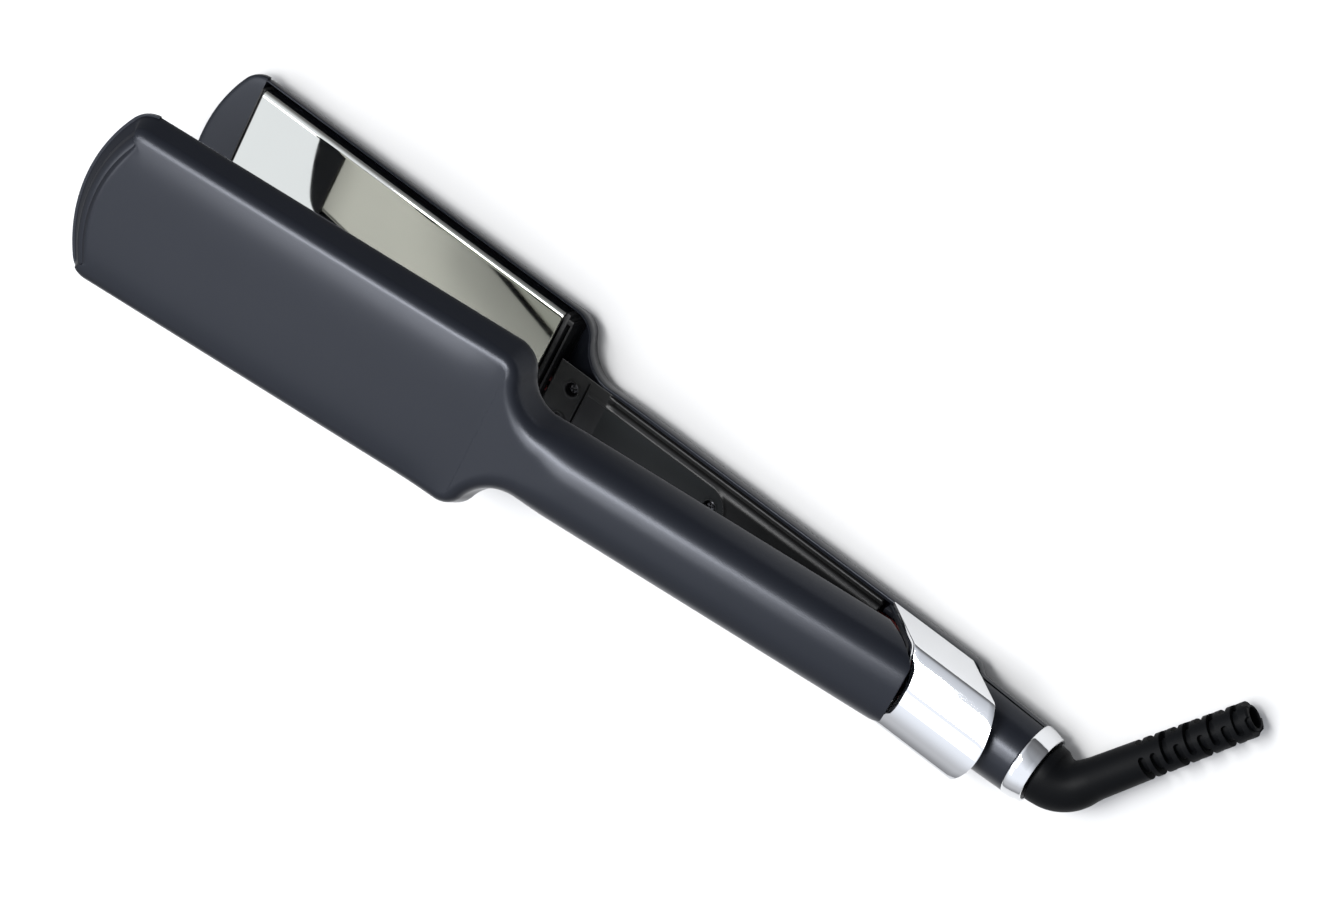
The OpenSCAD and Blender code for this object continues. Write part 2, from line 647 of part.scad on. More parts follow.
// Torsion spring round the pin: one leg on the frame, one under the upper arm's bar.
coil_r = 3.2;
coil_wire_r = 0.45;
coil_hw = 2.2;
leg_low = [frame_x0 + 4, frame_z + frame_base_t + coil_wire_r + 0.05];
leg_back = 12;
roof_up = 5.6;
leg_in = coil_wire_r + 0.05;
leg_high = [hinge_x - leg_back * cos(open_angle) + (roof_up - leg_in) * sin(open_angle),
    hinge_z + leg_back * sin(open_angle) + (roof_up - leg_in) * cos(open_angle)];
coil_a0 = -72;
coil_a1 = 60 + 720;
coil_steps = 34;
function coil_point(i) = let (a = mix(coil_a0, coil_a1, i / coil_steps))
    [hinge_x + coil_r * cos(a), mix(-coil_hw, coil_hw, i / coil_steps), hinge_z + coil_r * sin(a)];
coil_path = concat([[leg_low[0], -coil_hw, leg_low[1]]], [for (i = [0:coil_steps]) coil_point(i)],
    [[leg_high[0], coil_hw, leg_high[1]]]);
coil_gap = min([for (i = [0:coil_steps], j = [0:coil_steps]) if (abs(i - j) > coil_steps / 4)
    norm(coil_point(i) - coil_point(j))]) - 2 * coil_wire_r;
echo(least_gap_in_opening_spring = coil_gap);
module opening_spring() {
    color(steel) swept(coil_path, coil_wire_r, 8);
}

// Section of the hinge cover, and its slanted length.
crown_z = 2 * close_z + grip_rise;
cover_side_z = rim_z + cover_side;
crown_rise = crown_z - cover_side_z;
crown_r = (grip_hw * grip_hw + crown_rise * crown_rise) / (2 * crown_rise);
module cover_section(inset) {
    intersection() {
        translate([-grip_hw + inset, rim_z - 1]) square([2 * (grip_hw - inset), crown_z]);
        translate([0, crown_z - crown_r]) circle(r = crown_r - inset, $fn = 128);
    }
}
module slanted(ahead, behind, low) {
    top = crown_z + 2;
    along(-grip_hw - 1, grip_hw + 1) polygon([[cover_x(low) - ahead, low], [cover_x(low) + cover_len - behind, low],
        [cover_x(top) + cover_len - behind, top], [cover_x(top) - ahead, top]]);
}
module hinge_cover() {
    color(mirror_metal) intersection() {
        across(cover_x0 - 5, tail_x + 5) difference() {
            cover_section(0);
            cover_section(cover_t);
        }
        slanted(0, 0, rim_z);
    }
}

// Black top of the tail, with the housing that the hinge cover clips over.
lip = 0.6;
housing_inset = cover_t + 0.05;
housing_t = 1.4;
skirt_hw = grip_hw - wall - 0.5;
skirt_t = 1.2;
module tail_cover() {
    color(black) difference() {
        union() {
            intersection() {
                across(cover_x0 - 5, tail_x + 5) difference() {
                    cover_section(housing_inset);
                    cover_section(housing_inset + housing_t);
                }
                slanted(lip, 0.8, rim_z);
            }
            intersection() {
                across(cover_x0 + 5, tail_x + 5) cover_section(housing_inset);
                difference() {
                    slanted(0, 0.8, tail_z + 0.2);
                    slanted(cover_len + 1, 2.4, 0);
                }
            }
            for (s = [0, 1]) mirror([0, s, 0]) translate([cover_x0 - lip, skirt_hw - skirt_t, rim_z - 3])
                cube([tail_start - 0.5 - cover_x0, skirt_t, 6]);
            translate([0, 0, tail_z]) difference() {
                rod(tail_start + 1, tail_x, tail_r, tail_end_r);
                translate([tail_start, -30, -60]) cube([60, 60, 60]);
            }
        }
        tail_hollow();
    }
}
module tail_hollow() {
    slope = (tail_r - tail_end_r) / (tail_x - tail_start - 1);
    translate([0, 0, tail_z]) rod(tail_start - 1, tail_x + 1, tail_r - wall + 2 * slope, tail_end_r - wall - slope);
}

// Collar ring, swivel bush and the contacts that feed the turning cord.
collar_front_r = tail_end_r + 0.3;
collar_back_r = tail_end_r - 0.5;
bush_r = tail_end_r - wall - 0.15;
swivel_r = 6.6;
swivel_clearance = 0.08;
module about_tail() {
    translate([0, 0, tail_z]) children();
}
module tail_collar() {
    edge = 0.6;
    color(mirror_metal) about_tail() rotate([0, 90, 0]) rotate_extrude() polygon([[bush_r + 0.1, tail_x],
        [collar_front_r - edge, tail_x], [collar_front_r, tail_x + edge], [collar_back_r, tail_x + collar_len - edge],
        [collar_back_r - edge, tail_x + collar_len], [bush_r + 0.1, tail_x + collar_len]]);
}
module swivel_bush() {
    color(holder_black) about_tail() difference() {
        rod(bush_x0, tail_x + collar_len - 0.3, bush_r);
        rod(bush_x0 - 1, tail_x + collar_len + 1, swivel_r);
    }
}
module contact_brushes() {
    color(brass) for (i = [0, 1]) translate([ring_x0 + i * ring_pitch, -brush_hw, brush_z])
        cube([ring_t, 2 * brush_hw, tail_z - ring_r - face_gap - brush_z]);
}
module contact_rings() {
    color(brass) about_tail() for (i = [0, 1]) difference() {
        rod(ring_x0 + i * ring_pitch, ring_x0 + i * ring_pitch + ring_t, ring_r);
        rod(ring_x0 - 1, ring_x0 + 10, ring_seat_r);
    }
}
flange_t = 1.8;
core_bore_r = 2;
boot_x = tail_x + collar_len + face_gap;
core_in = 4.5;
module swivel_core() {
    color(holder_black) about_tail() difference() {
        union() {
            rod(ring_x0 - 0.7, bush_x0 - face_gap - 1, ring_seat_r);
            rod(bush_x0 - face_gap - flange_t, bush_x0 - face_gap, swivel_r + 1.8);
            rod(bush_x0 - face_gap - 1, boot_x + core_in, swivel_r - swivel_clearance);
        }
        rod(ring_x0 - 2, boot_x + core_in + 1, core_bore_r);
    }
}

// Cord boot: a dome on the swivel, a bend and a slotted leg with the bore for the cord.
dome_r = 9.2;
dome_len = 2;
bend_in = 3;
slot_t = 1.6;
slot_pitch = 3.7;
slot_wall = 0.8;
slot_first = boot_leg - 2 * slot_count * slot_pitch - 1.2;
bore_len = boot_leg - 8;
bend_reach = boot_bend_r * tan(boot_bend / 2);
module boot_leg_frame() {
    translate([bend_in + boot_bend_r * sin(boot_bend), boot_bend_r * (1 - cos(boot_bend)), 0])
        rotate([0, 0, boot_bend]) children();
}
module bend_tube(r) {
    translate([bend_in, boot_bend_r, 0]) rotate([0, 0, -90]) rotate_extrude(angle = boot_bend)
        translate([boot_bend_r, 0]) circle(r = r);
}
module slot_pair(turn) {
    rotate([turn, 0, 0]) for (s = [-1, 1]) translate([0, -boot_r - 1, s > 0 ? cord_r + slot_wall : -boot_r - 1])
        cube([slot_t, 2 * boot_r + 2, boot_r + 1 - cord_r - slot_wall]);
}
dome_steps = 8;
module boot_dome() {
    last = 80;
    rotate([0, 90, 0]) rotate_extrude() polygon(concat([[0, 0], [dome_r - 0.4, 0], [dome_r, 0.6]],
        [for (i = [0:dome_steps]) [dome_r * cos(last * i / dome_steps), dome_len + dome_r * sin(last * i / dome_steps)]],
        [[0, dome_len + dome_r * sin(last)]]));
}
module cord_boot() {
    color(rubber) translate([boot_x, 0, tail_z]) rotate([boot_turn, 0, 0]) difference() {
        union() {
            boot_dome();
            bend_tube(boot_r);
            boot_leg_frame() rod(-1, boot_leg, boot_r + 0.3, boot_end_r);
        }
        rod(-1, core_in, swivel_r - swivel_clearance);
        rod(0, bend_in + bend_reach + 0.7, core_bore_r);
        boot_leg_frame() {
            rod(-bend_reach - 0.3, boot_leg - bore_len + 1, core_bore_r + 0.15);
            rod(boot_leg - bore_len, boot_leg + 1, cord_r);
            for (i = [0:2 * slot_count - 1]) translate([slot_first + i * slot_pitch, 0, 0]) slot_pair(90 * (i % 2));
        }
    }
}

// Controls on the upper arm's inner side: buttons and a light pipe over a circuit board.
board_x0 = panel_x0 + 3;
board_x1 = panel_screw_x - boss_r - 1.2;
board_hw = 6.8;
power_x = panel_x0 + 9;
minus_x = power_x + 9.5;
plus_x = minus_x + 8;
pipe_x = plus_x + 6;
pipe_len = 8;
pipe_hw = 1.6;
button_play = 0.1;
cap_up = 1.6;
flange_up = 0.6;
button_low = board_z + board_t + 1.5 + button_travel + 0.1;
module button_cap(x, r) {
    tub_low = panel_z - liner_t;
    translate([x, 0, button_low]) cylinder(h = tub_low - 0.15 - button_low, r = r + 0.7);
    translate([x, 0, button_low]) cylinder(h = panel_z + cap_up - button_low - 0.3, r = r);
    translate([x, 0, panel_z + cap_up - 0.3]) cylinder(h = 0.3, r1 = r, r2 = r - 0.3);
}
module upper_liner() {
    color(liner_black) upper() difference() {
        liner();
        for (b = [[power_x, power_r], [minus_x, step_r], [plus_x, step_r]])
            translate([b[0], 0, 0]) cylinder(h = rim_z, r = b[1] + button_play);
        translate([pipe_x, -pipe_hw - 0.1, 0]) cube([pipe_len, 2 * pipe_hw + 0.2, rim_z]);
        screw_cut(arm_screw_x, 0, liner_z + 2, liner_z - screw_head_t - 1);
    }
}
module circuit_board() {
    color(board_green) upper() {
        translate([board_x0, -board_hw, board_z]) cube([board_x1 - board_x0, 2 * board_hw, board_t]);
        translate([board_x0 + 12, 3.4, board_z + board_t]) cube([6, 3, 1.2]);
        translate([board_x1 - 9, 3.2, board_z + board_t]) cube([6, 3.2, 1.4]);
        translate([board_x0 + 12, -6.4, board_z + board_t]) cube([4, 2.6, 1]);
    }
}
module button_switches() {
    color(steel) upper() for (x = [power_x, minus_x, plus_x]) translate([x, 0, board_z + board_t]) {
        translate([-1.8, -1.8, 0]) cube([3.6, 3.6, 1]);
        cylinder(h = 1.5, r = 1);
    }
}
module light_pipe() {
    color([0.85, 0.87, 0.9, 0.6]) upper() translate([pipe_x + 0.1, -pipe_hw, board_z + board_t])
        cube([pipe_len - 0.2, 2 * pipe_hw, panel_z + 0.3 - board_z - board_t]);
}
module power_button() {
    color(liner_black) upper() button_cap(power_x, power_r);
}
module plus_button() {
    color(liner_black) upper() button_cap(plus_x, step_r);
}
module minus_button() {
    color(liner_black) upper() button_cap(minus_x, step_r);
}

lower_shell();
lower_liner();
lower_plate_holder();
lower_plate();
lower_heater();
lower_heater_spring();
lower_thermistor();
lower_screws();
lower_leads();
hinge_frame();
hinge_pin();
opening_spring();
tail_cover();
hinge_cover();
tail_collar();
swivel_bush();
contact_brushes();
upper_shell();
upper_liner();
upper_plate_holder();
upper_plate();
upper_heater();
upper_heater_spring();
thermal_fuse();
upper_screws();
upper_leads();
hinge_arm();
hinge_bushes();
circuit_board();
button_switches();
light_pipe();
power_button();
plus_button();
minus_button();
cord_boot();
swivel_core();
contact_rings();
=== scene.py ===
"""Looks of a wide-plate hair straightener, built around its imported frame.

Lengths in the tool's classes are millimetres in the frame's own axes: +X runs from the tip to the cord, +Y across,
+Z up from the lower arm's back. Both arms are drawn lying like the lower one, and the upper one is then turned over
and raised about the hinge. Every finished mesh is in metres, and so are the lamps, the floor and the camera.
"""

import logging
import math
from dataclasses import dataclass, field
from enum import Enum
from typing import Sequence

import bmesh
import bpy
import numpy as np
from mathutils import Matrix


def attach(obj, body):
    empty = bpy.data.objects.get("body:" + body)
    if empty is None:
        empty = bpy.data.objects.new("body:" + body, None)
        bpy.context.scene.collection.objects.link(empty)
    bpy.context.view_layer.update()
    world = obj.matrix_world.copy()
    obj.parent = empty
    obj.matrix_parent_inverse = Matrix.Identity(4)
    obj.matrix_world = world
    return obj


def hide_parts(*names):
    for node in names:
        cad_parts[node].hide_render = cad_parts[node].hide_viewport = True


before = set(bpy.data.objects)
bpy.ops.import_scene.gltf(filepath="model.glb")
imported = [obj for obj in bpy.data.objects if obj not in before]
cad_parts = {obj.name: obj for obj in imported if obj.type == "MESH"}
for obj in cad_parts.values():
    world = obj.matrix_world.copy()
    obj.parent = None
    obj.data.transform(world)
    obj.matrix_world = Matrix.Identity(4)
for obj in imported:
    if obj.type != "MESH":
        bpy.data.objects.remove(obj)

MM = 0.001
LOG = logging.getLogger("straightener")
Colour = tuple[float, float, float]
Points = np.ndarray


class Body(Enum):
    """The frame's moving bodies."""

    BASE = "base"
    UPPER = "upper_arm"
    CORD = "cord_swivel"
    POWER = "power_button"
    PLUS = "plus_button"
    MINUS = "minus_button"


class Side(Enum):
    """Which arm a piece belongs to."""

    LOWER = "lower"
    UPPER = "upper"

    @property
    def body(self) -> Body:
        """The body that carries this arm's pieces."""
        return Body.BASE if self is Side.LOWER else Body.UPPER


# --- sizes


@dataclass(frozen=True)
class ToolSizes:
    """Sizes that several pieces share, in millimetres."""

    plate_half_len: float = 60.0
    plate_half_w: float = 25.75
    plate_t: float = 1.2
    plate_top: float = 12.7
    close_z: float = 13.0
    rim_z: float = 11.0
    wall: float = 1.5
    head_half_w: float = 29.0
    head_lean: float = 3.7
    head_edge_r: float = 4.0
    tip_x: float = -75.0
    tip_r: float = 51.0
    corner_r: float = 9.0
    head_end: float = 62.0
    neck_out_r: float = 10.0
    neck_in_r: float = 12.0
    grip_half_w: float = 14.0
    grip_power: float = 0.8
    crown: float = 3.0
    arm_end: float = 205.86
    arm_round: float = 0.03
    hinge_x: float = 224.86
    hinge_z: float = 13.0
    open_deg: float = 11.6
    cover_x0: float = 189.86
    cover_slope: float = 1.1
    cover_len: float = 29.0
    tail_start: float = 218.86
    tail_x: float = 246.36
    tail_z: float = 12.8
    tail_r: float = 12.2
    tail_end_r: float = 11.3
    liner_z: float = 9.5
    liner_half_w: float = 12.0

    @property
    def neck_angle(self) -> float:
        """Angle that each arc of the neck turns, in radians."""
        drop = self.head_half_w - self.grip_half_w
        return math.acos(1 - drop / (self.neck_out_r + self.neck_in_r))

    @property
    def neck_end(self) -> float:
        """Where the neck meets the straight grip."""
        return self.head_end + (self.neck_out_r + self.neck_in_r) * math.sin(self.neck_angle)

    @property
    def lean_angle(self) -> float:
        """How far the head's side wall leans in, in radians."""
        return math.atan(self.head_lean / self.rim_z)

    @property
    def edge_inset(self) -> float:
        """Distance from the rim to the edge of the head's flat face."""
        low = self.head_edge_r / self.rim_z
        return self.head_lean * (1 - low) + self.head_edge_r / math.cos(self.lean_angle)

    def cover_front(self, z: float) -> float:
        """Front edge of the hinge cover at height z."""
        return self.cover_x0 + self.cover_slope * (z - self.rim_z)


SIZES = ToolSizes()


def mix(a, b, t):
    """Straight blend from a to b."""
    return a + (b - a) * t


def smooth(t):
    """Eased step from 0 to 1."""
    u = np.clip(t, 0.0, 1.0)
    return u * u * (3 - 2 * u)


def place(points: Points, side: Side, back: bool = False) -> Points:
    """Puts points drawn on the lower arm onto their own arm, or back again.

    Args:
        points: Coordinates in millimetres.
        side: The arm that they belong to.
        back: Takes them from their own arm onto the lower one.

    Returns:
        The same points, moved.
    """
    if side is Side.LOWER:
        return points
    turn = math.radians(-SIZES.open_deg if back else SIZES.open_deg)
    flip = 2 * SIZES.close_z
    x, z = points[..., 0], points[..., 2]
    dx, dz = x - SIZES.hinge_x, (z if back else flip - z) - SIZES.hinge_z
    out = points.copy()
    out[..., 0] = SIZES.hinge_x + dx * math.cos(turn) + dz * math.sin(turn)
    out[..., 2] = SIZES.hinge_z + dz * math.cos(turn) - dx * math.sin(turn)
    if back:
        out[..., 2] = flip - out[..., 2]
    return out


def quarter(steps: int) -> Points:
    """Angles from 0 to a right angle."""
    return np.linspace(0, math.pi / 2, steps)


# --- mesh tools


@dataclass
class Skin:
    """Gathers grids of points into one closed mesh."""

    points: list[Points] = field(default_factory=list)
    faces: list[list[int]] = field(default_factory=list)
    count: int = 0

    def add(self, points: Points) -> int:
        """Adds loose points and returns the number of the first."""
        first = self.count
        flat = np.asarray(points, float).reshape(-1, 3)
        self.points.append(flat)
        self.count += len(flat)
        return first

    def grid(self, rows: Points, round_rows: bool = False, round_columns: bool = False) -> int:
        """Adds a grid of faces.

        Args:
            rows: Points as rows by columns by 3.
            round_rows: Join the last row to the first.
            round_columns: Join the last column to the first.

        Returns:
            The number of the grid's first point.
        """
        rows = np.asarray(rows, float)
        n, m = rows.shape[:2]
        first = self.add(rows)
        for i in range(n if round_rows else n - 1):
            for j in range(m if round_columns else m - 1):
                a, b = i * m, ((i + 1) % n) * m
                k = (j + 1) % m
                self.faces.append([first + a + j, first + a + k, first + b + k, first + b + j])
        return first

    def tube(self, rings: Points) -> None:
        """Adds a row of closed rings with both ends capped."""
        n, m = np.asarray(rings).shape[:2]
        first = self.grid(rings, round_columns=True)
        self.faces.append([first + k for k in range(m)])
        self.faces.append([first + (n - 1) * m + k for k in range(m)])

    def wall(self, rings: Points) -> None:
        """Adds open rings that close on the first one, with the ends of the rings capped."""
        n, m = rings.shape[:2]
        first = self.grid(rings, round_rows=True)
        self.faces += [[first + i * m + j for i in range(n)] for j in (0, m - 1)]

    def join(self, a: int, b: int, steps: Sequence[tuple[int, int]]) -> None:
        """Adds faces between two like grids that start at a and b, along steps from point to point."""
        self.faces += [[a + p, a + q, b + q, b + p] for p, q in steps]

    def mirrored(self) -> "Skin":
        """Returns this skin with its mirror image across the tool added."""
        both = Skin()
        for side in (1.0, -1.0):
            first = both.add(np.concatenate(self.points) * np.array([1.0, side, 1.0]))
            both.faces += [[first + k for k in f[::int(side)]] for f in self.faces]
        return both

    def merge(self, other: "Skin") -> None:
        """Adds another skin's points and faces."""
        first = self.add(np.concatenate(other.points))
        self.faces += [[first + k for k in f] for f in other.faces]

    def build(self, name: str, side: Side = Side.LOWER, sharp_deg: float = 34.0) -> bpy.types.Object:
        """Makes the object, in metres, with welded seams and outward faces.

        Args:
            name: Name of the piece.
            side: The arm that the points are put onto.
            sharp_deg: Edges that turn further than this stay sharp.

        Returns:
            The new object, at the origin.
        """
        where = place(np.concatenate(self.points), side) * MM
        mesh = bpy.data.meshes.new(name)
        mesh.from_pydata(where.tolist(), [], self.faces)
        return closed(mesh, name, sharp_deg)


def linked(name: str, data: bpy.types.ID) -> bpy.types.Object:
    """Makes an object of some data and links it to the scene."""
    made = bpy.data.objects.new(name, data)
    bpy.context.scene.collection.objects.link(made)
    return made


def shaded(mesh: bpy.types.Mesh, sharp_deg: float) -> None:
    """Shades a mesh smooth, but for edges that turn further than sharp_deg."""
    mesh.shade_smooth()
    mesh.set_sharp_from_angle(angle=math.radians(sharp_deg))


def closed(mesh: bpy.types.Mesh, name: str, sharp_deg: float = 34.0) -> bpy.types.Object:
    """Welds a mesh in metres, turns its faces outwards and links it as an object."""
    work = bmesh.new()
    work.from_mesh(mesh)
    bmesh.ops.remove_doubles(work, verts=work.verts, dist=2e-6)
    bmesh.ops.dissolve_degenerate(work, edges=work.edges, dist=1e-6)
    bmesh.ops.recalc_face_normals(work, faces=work.faces)
    work.to_mesh(mesh)
    work.free()
    shaded(mesh, sharp_deg)
    return linked(name, mesh)


def settle(made: bpy.types.Object, sharp_deg: float = 0.0) -> bpy.types.Object:
    """Turns an object's modifiers into plain mesh, with its place in the mesh.

    Args:
        made: The object.
        sharp_deg: Shades the mesh again, with edges that turn further than this sharp; 0 leaves it as it is.

    Returns:
        The same object, at the origin.
    """
    bpy.context.view_layer.update()
    graph = bpy.context.evaluated_depsgraph_get()
    mesh = bpy.data.meshes.new_from_object(made.evaluated_get(graph))
    mesh.transform(made.matrix_world)
    made.modifiers.clear()
    made.data = mesh
    made.matrix_world = Matrix.Identity(4)
    if sharp_deg:
        shaded(mesh, sharp_deg)
    return made


def softened(made: bpy.types.Object, width: float) -> bpy.types.Object:
    """Rounds an object's sharp edges by a width in millimetres."""
    bevel = made.modifiers.new("soft edges", "BEVEL")
    bevel.width = width * MM
    bevel.segments = 2
    bevel.limit_method = "ANGLE"
    bevel.angle_limit = math.radians(30)
    return settle(made, 50)


def carved(made: bpy.types.Object, cutter: bpy.types.Object) -> bpy.types.Object:
    """Cuts one object out of another and drops the cutter."""
    cut = made.modifiers.new("cut", "BOOLEAN")
    cut.operation = "DIFFERENCE"
    cut.solver = "EXACT"
    cut.use_self = True
    cut.object = cutter
    settle(made, 34)
    bpy.data.objects.remove(cutter)
    return made


def both_sides(half: Sequence[tuple[float, float]]) -> list[tuple[float, float]]:
    """Completes the +Y half of an outline, as (y, z) pairs, with its mirror image."""
    return [*half, *[(-y, z) for y, z in reversed(half)]]


def prism(skin: Skin, section: Sequence[tuple[float, float]], x0: float, x1: float) -> None:
    """Adds a bar along X whose outline across the tool is section, as (y, z) pairs."""
    skin.tube(np.array([[(x, y, z) for y, z in section] for x in (x0, x1)]))


def block(skin: Skin, low: Sequence[float], high: Sequence[float]) -> None:
    """Adds a box between two corners."""
    (x0, y0, z0), (x1, y1, z1) = low, high
    prism(skin, [(y0, z0), (y1, z0), (y1, z1), (y0, z1)], x0, x1)


def turned(skin: Skin, outline: Sequence[tuple[float, float]], centre: Sequence[float], axis: str = "z",
           steps: int = 64) -> None:
    """Adds a solid of revolution.

    Args:
        skin: Where the faces go.
        outline: Pairs of radius and place along the axis; the ends lie on the axis, or the outline closes on itself.
        centre: A point on the axis.
        axis: "x" or "z".
        steps: Faces round the axis.
    """
    angles = np.linspace(0, 2 * math.pi, steps, endpoint=False)
    rows = []
    for r, h in outline:
        ring = np.stack([r * np.cos(angles), r * np.sin(angles), np.full(steps, h)], 1)
        rows.append(ring[:, [2, 0, 1]] if axis == "x" else ring)
    skin.grid(np.array(rows) + np.array(centre, float), round_columns=True)


# --- finishes


class Graph:
    """A node tree, with short ways to add nodes and to join them."""

    def __init__(self, tree: bpy.types.NodeTree) -> None:
        """Starts with an empty tree."""
        self.tree = tree
        tree.nodes.clear()

    def add(self, kind: str, inputs: dict[str | int, object] | None = None, **settings: object) -> bpy.types.Node:
        """Adds a node.

        Args:
            kind: The node's type.
            inputs: Values of its input sockets.
            settings: Properties of the node, which are set first.

        Returns:
            The node.
        """
        node = self.tree.nodes.new(kind)
        for key, value in settings.items():
            setattr(node, key, value)
        for key, value in (inputs or {}).items():
            node.inputs[key].default_value = value
        return node

    def join(self, *links: tuple[bpy.types.Node, str | int, bpy.types.Node, str | int]) -> None:
        """Links sockets, each as (node, output, node, input)."""
        for a, out, b, into in links:
            self.tree.links.new(a.outputs[out], b.inputs[into])

    def ranged(self, source: bpy.types.Node, out: str, low: float, high: float, a: float = 0.3, b: float = 0.7,
               **settings: object) -> bpy.types.Node:
        """Spreads a socket's value from a..b onto low..high."""
        made = self.add("ShaderNodeMapRange", {"From Min": a, "From Max": b, "To Min": low, "To Max": high}, **settings)
        self.join((source, out, made, "Value"))
        return made

    def math(self, operation: str, *terms: tuple[bpy.types.Node, str] | float) -> bpy.types.Node:
        """Combines two sockets, each as (node, output), or a socket and a number."""
        made = self.add("ShaderNodeMath", operation=operation)
        for k, term in enumerate(terms):
            if isinstance(term, tuple):
                self.join((*term, made, k))
            else:
                made.inputs[k].default_value = term
        return made


class Surface(Graph):
    """A material's nodes, which read the object's own coordinates."""

    MIX_A, MIX_B, MIX_OUT = 6, 7, 2

    def __init__(self, name: str, **shader: object) -> None:
        """Starts a material with an output and a shader, whose inputs are given with _ for spaces."""
        self.material = bpy.data.materials.new(name)
        self.material.use_nodes = True
        super().__init__(self.material.node_tree)
        self.out = self.add("ShaderNodeOutputMaterial")
        self.shader = self.add("ShaderNodeBsdfPrincipled", {k.replace("_", " "): v for k, v in shader.items()})
        self.coords = self.add("ShaderNodeTexCoord")
        self.join((self.shader, "BSDF", self.out, "Surface"))

    def noise(self, per_mm: float, detail: float = 3.0, stretch: Sequence[float] = (1, 1, 1)) -> bpy.types.Node:
        """Adds a noise.

        Args:
            per_mm: Features for each millimetre.
            detail: Octaves.
            stretch: Scale along each axis, for grain with a direction.

        Returns:
            The noise node.
        """
        spread = self.add("ShaderNodeMapping", {"Scale": stretch})
        made = self.add("ShaderNodeTexNoise", {"Scale": per_mm / MM, "Detail": detail})
        self.join((self.coords, "Object", spread, "Vector"), (spread, "Vector", made, "Vector"))
        return made

    def tone(self, per_mm: float, detail: float, a: Colour, b: Colour) -> bpy.types.Node:
        """Blends two colours by a noise and puts them on the shader."""
        ramp = self.add("ShaderNodeValToRGB")
        for element, colour in zip(ramp.color_ramp.elements, (a, b)):
            element.color = (*colour, 1)
        self.join((self.noise(per_mm, detail), "Fac", ramp, "Fac"), (ramp, "Color", self.shader, "Base Color"))
        return ramp

    def gloss(self, noise: bpy.types.Node, low: float, high: float) -> None:
        """Spreads the shader's roughness between two values by a noise."""
        self.join((self.ranged(noise, "Fac", low, high), "Result", self.shader, "Roughness"))

    def bumps(self, *layers: tuple[bpy.types.Node, float, float]) -> None:
        """Stacks bumps onto the shader, each as (node, strength, depth in millimetres); none where the depth is 0."""
        below = None
        for node, strength, depth in layers:
            if not depth:
                continue
            bump = self.add("ShaderNodeBump", {"Strength": strength, "Distance": depth * MM})
            self.join((node, "Fac", bump, "Height"))
            if below:
                self.join((below, "Normal", bump, "Normal"))
            below = bump
        self.join((below, "Normal", self.shader, "Normal"))


@dataclass(frozen=True)
class Moulded:
    """Moulded plastic or rubber with a fine surface grain and rubbed edges."""

    name: str
    colour: Colour
    other: Colour
    roughness: tuple[float, float]
    grain_per_mm: float = 3.0
    grain_depth: float = 0.01
    swell_depth: float = 0.0
    edge: float = 0.02
    specular: float = 0.5
    tint: Colour = (1.0, 1.0, 1.0)

    def make(self) -> bpy.types.Material:
        """Builds the material."""
        g = Surface(self.name, Specular_IOR_Level=self.specular, Specular_Tint=(*self.tint, 1))
        tone = g.tone(0.05, 4.0, self.colour, self.other)
        rubbed = g.ranged(g.add("ShaderNodeNewGeometry"), "Pointiness", 0.0, 1.0, 0.53, 0.62)
        patchy = g.ranged(g.noise(1.1, 5.0), "Fac", 0.2, 1.0, 0.4, 0.65)
        worn = g.add("ShaderNodeMix", {g.MIX_B: (*[c + self.edge for c in self.colour], 1)}, data_type="RGBA")
        g.join((g.math("MULTIPLY", (rubbed, "Result"), (patchy, "Result")), "Value", worn, "Factor"),
               (tone, "Color", worn, g.MIX_A), (worn, g.MIX_OUT, g.shader, "Base Color"))
        g.gloss(g.noise(0.12, 6.0, (0.4, 1.0, 1.0)), *self.roughness)
        swell = [(g.noise(0.09, 1.0), 0.5, self.swell_depth)] if self.swell_depth else []
        g.bumps(*swell, (g.noise(self.grain_per_mm, 2.0), 0.35, self.grain_depth))
        return g.material


@dataclass(frozen=True)
class Polished:
    """Bright metal with faint polishing lines and a breath of haze."""

    name: str
    colour: Colour
    other: Colour
    roughness: tuple[float, float]
    line_depth: float = 0.0004
    stretch: tuple[float, float, float] = (0.02, 1.0, 1.0)
    wave_depth: float = 0.0
    specks: float = 0.0

    def make(self) -> bpy.types.Material:
        """Builds the material."""
        g = Surface(self.name, Metallic=1.0)
        g.tone(0.04, 4.0, self.colour, self.other)
        g.gloss(g.noise(0.2, 6.0, (0.3, 1.0, 1.0)), *self.roughness)
        waves = [(g.noise(0.05, 0.0), 0.3, self.wave_depth)] if self.wave_depth else []
        specks = [(g.noise(2.5, 2.0), 0.3, self.specks)] if self.specks else []
        g.bumps(*waves, (g.noise(6.0, 3.0, self.stretch), 0.3, self.line_depth), *specks)
        return g.material


@dataclass(frozen=True)
class Board:
    """Coated circuit board with tracks and pads."""

    name: str = "board_coat"

    def make(self) -> bpy.types.Material:
        """Builds the material."""
        g = Surface(self.name)
        tracks = g.add("ShaderNodeTexBrick", {
            "Scale": 160.0, "Color1": (0.012, 0.10, 0.045, 1), "Color2": (0.016, 0.13, 0.06, 1),
            "Mortar": (0.03, 0.22, 0.10, 1), "Mortar Size": 0.012}, offset=0.5)
        g.join((g.coords, "Object", tracks, "Vector"), (tracks, "Color", g.shader, "Base Color"))
        g.gloss(g.noise(0.8), 0.22, 0.4)
        g.bumps((tracks, 0.3, 0.03))
        return g.material


